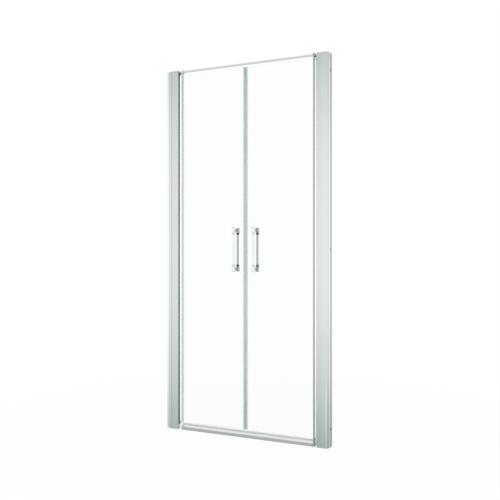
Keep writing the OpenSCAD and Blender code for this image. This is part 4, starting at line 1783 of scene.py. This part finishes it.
@dataclass
class Leaf:
    """One glass leaf with the metal strip on its hinged edge, its shoes and its seals."""

    side: Side
    arris: float = 0.35 * MM
    hole_radius: float = 6.0 * MM
    hole_x: float = 55.5 * MM
    hole_heights: tuple[float, float] = (0.8535, 1.0505)
    stile_slot: float = 7.0 * MM
    gasket: float = 0.8 * MM
    stile_corner: float = 1.0 * MM
    neck_half: float = 0.8 * MM
    neck_depth: float = 0.8 * MM
    head_half: float = 1.6 * MM
    head_depth: float = 1.0 * MM
    axis_out: float = 4.0 * MM
    eye_radius: float = 6.75 * MM
    eye_height: float = 8.0 * MM
    bush_radius: float = 4.55 * MM
    clamp_radius: float = 2.0 * MM
    clamp_from_stile: float = 4.0 * MM
    seal_skin: float = 1.0 * MM
    clip: float = 1.2 * MM
    chamber_skin: float = 0.9 * MM
    fin: float = 1.2 * MM
    fin_fall: float = 9.0 * MM
    tube_steps: int = 28
    stile_edge: float = 0.15 * MM
    shoe_edge: float = 0.35 * MM
    seal_edge: float = 0.1 * MM
    drip_seal_edge: float = 0.12 * MM
    glass_box: Box = field(default_factory=lambda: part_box("right_glass"))
    stile_box: Box = field(default_factory=lambda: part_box("right_hinge_stile"))
    lower_box: Box = field(default_factory=lambda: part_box("right_lower_shoe"))
    upper_box: Box = field(default_factory=lambda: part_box("right_upper_shoe"))
    hinge_seal_box: Box = field(default_factory=lambda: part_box("right_hinge_seal"))
    closing_box: Box = field(default_factory=lambda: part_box("right_closing_seal"))
    drip_box: Box = field(default_factory=lambda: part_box("right_drip_seal"))

    def pane(self) -> Workpiece:
        """Models the pane, with ground edges and two holes for the handle.

        Returns:
            The pane.
        """
        low, high = self.glass_box
        piece = Workpiece.block("pane", low, high)
        piece.round_edges(self.arris, segments=2)
        holes = [
            Workpiece.rod((self.hole_x, low.y - REACH, z), (self.hole_x, high.y + REACH, z),
                          self.hole_radius)
            for z in self.hole_heights]
        return piece.cut(*holes)

    def stile(self) -> Workpiece:
        """Models the strip on the hinged edge, with a slot for the glass and a keyway for the seal.

        Returns:
            The strip.
        """
        low, high = self.stile_box
        slot_half = self.glass_box[1].y + self.gasket
        r = self.stile_corner
        neck, head = high.x - self.neck_depth, high.x - self.neck_depth - self.head_depth
        outline = [
            (low.x, low.y), *arc((high.x - r, low.y + r), r, 270.0, 360.0, CORNER_STEPS),
            (high.x, -self.neck_half), (neck, -self.neck_half), (neck, -self.head_half),
            (head, -self.head_half), (head, self.head_half), (neck, self.head_half),
            (neck, self.neck_half), (high.x, self.neck_half),
            *arc((high.x - r, high.y - r), r, 0.0, 90.0, CORNER_STEPS), (low.x, high.y),
            (low.x, slot_half), (low.x + self.stile_slot, slot_half),
            (low.x + self.stile_slot, -slot_half), (low.x, -slot_half)]
        return Workpiece.extrusion("stile", Run.UP, [outline], low.z, high.z)

    def shoe(self, box: Box, eye_low: float, slot: Point, clamp_z: float) -> Workpiece:
        """Models a hinge shoe.

        Args:
            box: Its lowest and highest corners.
            eye_low: Height of the underside of its eye.
            slot: Heights between which it grips the glass.
            clamp_z: Height of its clamp screw.

        Returns:
            The shoe.
        """
        low, high = box
        outer = self.stile_box[1].x
        half = self.stile_box[1].y
        axis = outer + self.axis_out
        eye_high = eye_low + self.eye_height
        piece = Workpiece.block("shoe", (low.x, -half, low.z), (outer, half, high.z))
        piece.add(Workpiece.rod((axis, 0.0, eye_low), (axis, 0.0, eye_high), self.eye_radius))
        glass_edge = self.glass_box[1]
        clamp_x = (low.x + glass_edge.x) / 2
        return piece.cut(
            Workpiece.block("glass slot", (low.x - REACH, -glass_edge.y, slot[0]),
                            (glass_edge.x, glass_edge.y, slot[1])),
            Workpiece.rod((axis, 0.0, eye_low - REACH), (axis, 0.0, eye_high + REACH),
                          self.bush_radius),
            Workpiece.rod((clamp_x, 0.0, clamp_z), (clamp_x, half + REACH, clamp_z),
                          self.clamp_radius, SMALL_BORE_SIDES))

    def hinge_seal(self) -> Workpiece:
        """Models the clear tube between stile and side frame, with the key that the stile holds.

        Returns:
            The tube.
        """
        low, high = self.hinge_seal_box
        face = self.stile_box[1].x
        axis = face + self.axis_out
        outer = high.x - axis
        inner = outer - self.seal_skin
        flat = face + self.seal_skin
        reach = math.degrees(math.acos(-self.axis_out / outer))
        inner_reach = math.degrees(math.acos((flat - axis) / inner))
        neck, head = face - self.neck_depth, low.x
        outline = [
            *arc((axis, 0.0), outer, -reach, reach, self.tube_steps),
            (face, self.neck_half), (neck, self.neck_half), (neck, self.head_half),
            (head, self.head_half), (head, -self.head_half), (neck, -self.head_half),
            (neck, -self.neck_half), (face, -self.neck_half)]
        hollow = arc((axis, 0.0), inner, -inner_reach, inner_reach, self.tube_steps)
        return Workpiece.extrusion("hinge seal", Run.UP, [outline, hollow], low.z, high.z)

    def closing_seal(self) -> Workpiece:
        """Models the seal on the free edge: a chamber for the magnet, and two lips on the glass.

        Returns:
            The seal.
        """
        low, high = self.closing_box
        glass_x, glass_half = self.glass_box[0].x, self.glass_box[1].y
        lip = glass_half + self.clip
        skin = self.chamber_skin
        left, near, right, far = low.x + skin, low.y + skin, glass_x - skin, high.y - skin
        outline = [
            *arc((left, near), skin, 180.0, 270.0, CORNER_STEPS),
            *arc((right, near), skin, 270.0, 360.0, CORNER_STEPS),
            (glass_x, -lip), (high.x, -lip), (high.x, -glass_half), (glass_x, -glass_half),
            (glass_x, glass_half), (high.x, glass_half), (high.x, lip), (glass_x, lip),
            *arc((right, far), skin, 0.0, 90.0, CORNER_STEPS),
            *arc((left, far), skin, 90.0, 180.0, CORNER_STEPS)]
        hollow = rectangle(left, near, right, far)
        return Workpiece.extrusion("closing seal", Run.UP, [outline, hollow], low.z, high.z)

    def drip_seal(self) -> Workpiece:
        """Models the seal under the glass: two lips, two sloped fins, and a wiper over the sill.

        Returns:
            The seal.
        """
        low, high = self.drip_box
        glass_low, half = self.glass_box[0].z, self.glass_box[1].y
        floor = glass_low - self.clip
        lip, fin_low, fin_out = half + self.clip, floor - self.fin_fall, high.y
        inner_side = [
            (half, glass_low), (half, high.z), (lip, high.z), (lip, floor), (fin_out, fin_low),
            (fin_out - self.fin, fin_low), (half, floor), (self.fin / 2, floor), (self.fin / 2, low.z)]
        outline = [*inner_side, *[(-u, v) for u, v in reversed(inner_side)]]
        return Workpiece.extrusion("drip seal", Run.ALONG, [outline], low.x, high.x)

    def build(self) -> None:
        """Models and dresses the leaf."""
        lower_low, lower_high = self.lower_box
        upper_low, upper_high = self.upper_box
        glass_low, glass_high = self.glass_box
        lower = self.shoe(
            self.lower_box, lower_low.z, (glass_low.z, lower_high.z + REACH),
            lower_high.z - self.clamp_from_stile)
        upper = self.shoe(
            self.upper_box, upper_high.z - self.eye_height, (upper_low.z - REACH, glass_high.z),
            upper_low.z + self.clamp_from_stile)
        for name, piece, finish, edge in (
                ("glass", self.pane(), GLASS, 0.0),
                ("hinge_stile", self.stile(), STILES[self.side], self.stile_edge),
                ("lower_shoe", lower, SHOES[self.side], self.shoe_edge),
                ("upper_shoe", upper, SHOES[self.side], self.shoe_edge),
                ("hinge_seal", self.hinge_seal(), HINGE_SEALS[self.side], self.seal_edge),
                ("closing_seal", self.closing_seal(), CLOSING_SEAL, self.seal_edge),
                ("drip_seal", self.drip_seal(), DRIP_SEAL, self.drip_seal_edge)):
            settle(self.side, name, piece, finish, edge)
        for name, finish in (("stile_gasket", GASKET), ("hinge_bushes", NYLON), ("clamp_screws", STEEL),
                             ("magnet_strip", MAGNET)):
            dress(self.side.node(name), finish)


@dataclass
class Handle:
    """The pull handle of one leaf: a turned grip on each face, on posts that clamp the glass."""

    side: Side
    bar_radius: float = 5.5 * MM
    end_length: float = 28.0 * MM
    taper: float = 9.0 * MM
    end_round: float = 1.2 * MM
    groove: float = 0.8 * MM
    groove_depth: float = 0.5 * MM
    post_radius: float = 5.5 * MM
    post_bite: float = 4.0 * MM
    stud_radius: float = 3.0 * MM
    stud_bite: float = 10.0 * MM
    hole_radius: float = 6.0 * MM
    seam: float = 0.1 * MM
    grub_radius: float = 2.0 * MM
    grip_sides: int = 64
    # How far the painted reflections overlap at their edges, and the width of the painted dark
    # reflection round each outer grip's end.
    tone_overlap: float = 1.0 * MM
    rim_tone: float = 1.5 * MM
    post_edge: float = 0.3 * MM
    washer_edge: float = 0.2 * MM
    grip_box: Box = field(default_factory=lambda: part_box("right_inner_grip"))
    washer_box: Box = field(default_factory=lambda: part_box("right_glass_washers"))
    glass_box: Box = field(default_factory=lambda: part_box("right_glass"))

    def __post_init__(self) -> None:
        """Works out the grip's axis, its heights, and where its posts are and end."""
        low, high = self.grip_box
        self.x = (low.x + high.x) / 2
        self.out = (low.y + high.y) / 2
        self.middle = (low.z + high.z) / 2
        self.half = (high.z - low.z) / 2
        self.body = self.half - self.end_length
        self.end_radius = min(high.x - low.x, high.y - low.y) / 2
        self.post_rise = self.half - self.end_length / 2
        self.post_end = self.out - self.end_radius + self.post_bite

    def inner_chrome(self) -> PolishedMetal:
        """Gives the inner grips' chrome, with the dim bathroom painted on as reflections in stripes.

        Returns:
            The finish.
        """
        neck, end = self.body - self.taper, self.body + self.tone_overlap
        return PolishedMetal(
            "inner_grip_chrome", color=paint(208, 214, 212), roughness=0.1,
            middle_height=self.middle,
            patches=(
                Patch(0.0, neck, paint(150, 160, 157), -1.1, 0.0),
                Patch(0.0, neck, paint(184, 192, 190), 0.0, 1.1),
                Patch(neck, end, paint(62, 68, 67)),
                Patch(end, self.half, paint(112, 120, 118), -0.5, 0.1),
                Patch(end, self.half, paint(150, 158, 156), 0.7, 1.1),
                Patch(end, self.half, paint(176, 183, 181), -1.1, -0.85)))

    def outer_chrome(self) -> PolishedMetal:
        """Gives the outer grips' chrome, with the pale room in front of the door painted on as
        reflections.

        Returns:
            The finish.
        """
        neck, end = self.body - self.taper, self.body + self.tone_overlap
        rim = self.half - self.rim_tone
        return PolishedMetal(
            "outer_grip_chrome", color=paint(246, 248, 248), roughness=0.1,
            middle_height=self.middle,
            patches=(
                Patch(neck, end, paint(206, 212, 210)),
                Patch(rim, self.half + self.tone_overlap, paint(140, 146, 145))))

    def grip(self) -> Workpiece:
        """Turns the inner grip, and bores it for its posts and its grub screws.

        Returns:
            The grip.
        """
        body, end, r, cut = self.body, self.end_radius, self.end_round, self.groove_depth
        upper = [
            (self.bar_radius, body - self.taper), (end, body), (end, body + self.groove),
            (end - cut, body + self.groove * 1.5), (end, body + self.groove * 2),
            *arc((end - r, self.half - r), r, 0.0, 90.0), (0.0, self.half)]
        outline = [*[(radius, -height) for radius, height in reversed(upper)], *upper]
        centre = (self.x, self.out, self.middle)
        piece = Workpiece.turning("grip", outline, centre, UPWARDS, self.grip_sides)
        bores = []
        for way in (-1.0, 1.0):
            z = self.middle + way * self.post_rise
            bores.append(
                Workpiece.rod((self.x, 0.0, z), (self.x, self.post_end, z), self.post_radius))
            tip = self.middle + way * (self.half + REACH)
            bores.append(Workpiece.rod(
                (self.x, self.out, z + way * self.post_radius), (self.x, self.out, tip),
                self.grub_radius, BORE_SIDES))
        return piece.cut(*bores)

    def four(self, name: str, outline: Sequence[Point]) -> Workpiece:
        """Turns one piece on a post's axis and copies it to both posts on both faces of the glass.

        Args:
            name: Name of the piece.
            outline: Points of radius and of distance from the middle of the glass.

        Returns:
            All four, in one mesh.
        """
        low_post = Vector((self.x, 0.0, self.middle - self.post_rise))
        inner = Workpiece.turning(name, outline, low_post, INTO_SHOWER)
        outer = inner.copy((0.0, 0.0, 0.0)).mirror(Mirror.IN_OUT)
        rise = (0.0, 0.0, 2 * self.post_rise)
        return inner.join(outer, inner.copy(rise), outer.copy(rise))

    def posts(self) -> Workpiece:
        """Turns the four posts, bored for the studs.

        Returns:
            The posts.
        """
        face = self.washer_box[1].y
        return self.four("posts", [
            (0.0, self.post_end), (self.post_radius, self.post_end), (self.post_radius, face),
            (self.stud_radius, face), (self.stud_radius, face + self.stud_bite),
            (0.0, face + self.stud_bite)])

    def washers(self) -> Workpiece:
        """Turns the four clear washers, each with a sleeve in the hole of the glass.

        Returns:
            The washers.
        """
        face, glass = self.washer_box[1].y, self.glass_box[1].y
        rim = (self.washer_box[1].x - self.washer_box[0].x) / 2
        return self.four("washers", [
            (self.stud_radius, self.seam), (self.hole_radius, self.seam), (self.hole_radius, glass),
            (rim, glass), (rim, face), (self.stud_radius, face)])

    def build(self) -> None:
        """Models and dresses the handle."""
        inner, outer = self.grip(), self.grip().mirror(Mirror.IN_OUT)
        settle(self.side, "inner_grip", inner, self.inner_chrome())
        settle(self.side, "outer_grip", outer, self.outer_chrome())
        settle(self.side, "handle_posts", self.posts(), POST, self.post_edge)
        settle(self.side, "glass_washers", self.washers(), WASHER, self.washer_edge)
        for name in ("handle_studs", "grub_screws"):
            dress(self.side.node(name), STEEL)


@dataclass(frozen=True)
class Lamp:
    """A soft square lamp that polished pieces don't mirror."""

    name: str
    place: tuple[float, float, float]
    power: float
    size: float = 2.4
    aim: tuple[float, float, float] = (0.0, 0.0, 1.0)

    def hang(self) -> None:
        """Hangs the lamp and points it at the door."""
        data = bpy.data.lights.new(self.name, "AREA")
        data.energy = self.power
        data.size = self.size
        lamp = bpy.data.objects.new(self.name, data)
        lamp.location = self.place
        way = Vector(self.aim) - Vector(self.place)
        lamp.rotation_euler = way.to_track_quat("-Z", "Y").to_euler()
        lamp.visible_glossy = False
        bpy.context.scene.collection.objects.link(lamp)


@dataclass
class Studio:
    """The camera, the plain pale floor and the soft light."""

    camera_place: tuple[float, float, float] = (1.4682, -3.0812, 0.9503)
    camera_turn: float = 25.1
    lens: float = 48.36
    far_limit: float = 60.0
    floor_size: float = 24.0
    floor_color: Color = (0.92, 0.92, 0.92)
    floor_roughness: float = 0.9
    floor_show: float = 0.05
    shadow_full: float = 0.8
    shadow_end: float = 2.6
    sky_level: float = 0.78
    key_lamp: Lamp = Lamp("key_lamp", (2.2, -3.0, 3.4), 30.0)
    fill_lamp: Lamp = Lamp("fill_lamp", (-3.0, -2.2, 2.0), 14.0)

    def camera(self) -> None:
        """Sets up the camera at the photograph's viewing angle."""
        data = bpy.data.cameras.new("camera")
        data.lens = self.lens
        data.clip_end = self.far_limit
        camera = bpy.data.objects.new("camera", data)
        camera.location = self.camera_place
        camera.rotation_euler = (math.radians(90.0), 0.0, math.radians(self.camera_turn))
        bpy.context.scene.collection.objects.link(camera)
        bpy.context.scene.camera = camera

    @staticmethod
    def seen(bench: NodeBench) -> Socket:
        """Gives a mask for the rays that show the background: straight, mirrored or through glass.

        Args:
            bench: The bench of its nodes.

        Returns:
            The mask's socket.
        """
        rays = named(bench.add("ShaderNodeLightPath", "rays").outputs)
        mirrored = bench.math(
            "MAXIMUM", "straight or mirrored", rays["Is Camera Ray"], rays["Is Glossy Ray"])
        return bench.math("MAXIMUM", "or through glass", mirrored, rays["Is Transmission Ray"])

    @staticmethod
    def blend(bench: NodeBench, share: Socket, shaders: tuple[Socket, Socket], end: Socket) -> None:
        """Mixes two shaders.

        Args:
            bench: The bench of their nodes.
            share: How much of the second one.
            shaders: The two shaders.
            end: What the mixture is joined to.
        """
        both = bench.add("ShaderNodeMixShader", "blend")
        for source, target in zip((share, *shaders), both.inputs):
            bench.join(source, target)
        bench.join(both.outputs["Shader"], end)

    def sky(self) -> None:
        """Lights the object evenly, and shows a white background."""
        world = bpy.data.worlds.new("studio")
        world.use_nodes = True
        bpy.context.scene.world = world
        bench = NodeBench(world.node_tree)
        light = world.node_tree.nodes["Background"]
        white = bench.add("ShaderNodeBackground", "white background")
        bench.fill(light, Color=WHITE, Strength=self.sky_level)
        bench.fill(white, Color=WHITE, Strength=1.0)
        shaders = light.outputs["Background"], white.outputs["Background"]
        end = world.node_tree.nodes["World Output"].inputs["Surface"]
        self.blend(bench, self.seen(bench), shaders, end)

    def floor(self) -> None:
        """Lays a pale floor that takes a soft shadow."""
        deselect_all()
        bpy.ops.mesh.primitive_plane_add(size=self.floor_size)
        floor = bpy.context.active_object
        floor.name = "floor"
        material = bpy.data.materials.new("floor")
        material.use_nodes = True
        bench = NodeBench(material.node_tree)
        matt = material.node_tree.nodes["Principled BSDF"]
        white = bench.add("ShaderNodeEmission", "white")
        bench.fill(
            matt, Base_Color=self.floor_color, Roughness=self.floor_roughness,
            Specular_IOR_Level=0.0)
        bench.fill(white, Color=WHITE, Strength=1.0)
        away = bench.vector("LENGTH", "distance", bench.surface("Object"))
        show = bench.ramp(
            "shadow near the door", away, self.shadow_full, self.shadow_end, self.floor_show, 0.0)
        plain = bench.math("SUBTRACT", "not shadow", 1.0, show)
        whiteness = bench.math("MULTIPLY", "white where seen", self.seen(bench), plain)
        shaders = matt.outputs["BSDF"], white.outputs["Emission"]
        end = material.node_tree.nodes["Material Output"].inputs["Surface"]
        self.blend(bench, whiteness, shaders, end)
        floor.data.materials.append(material)

    def build(self) -> None:
        """Sets up the studio."""
        self.camera()
        self.sky()
        self.floor()
        self.key_lamp.hang()
        self.fill_lamp.hang()
        bpy.context.scene.view_settings.view_transform = "Standard"


def main() -> None:
    """Models and dresses the door, sub-assembly by sub-assembly, and sets up the studio."""
    logging.basicConfig(level=logging.INFO, format="%(message)s")
    Studio().build()
    Crossbars().build()
    for side in Side:
        SideProfile(side).build()
        Pivots(side).build()
        Leaf(side).build()
        Handle(side).build()


if __name__ == "__main__":
    main()
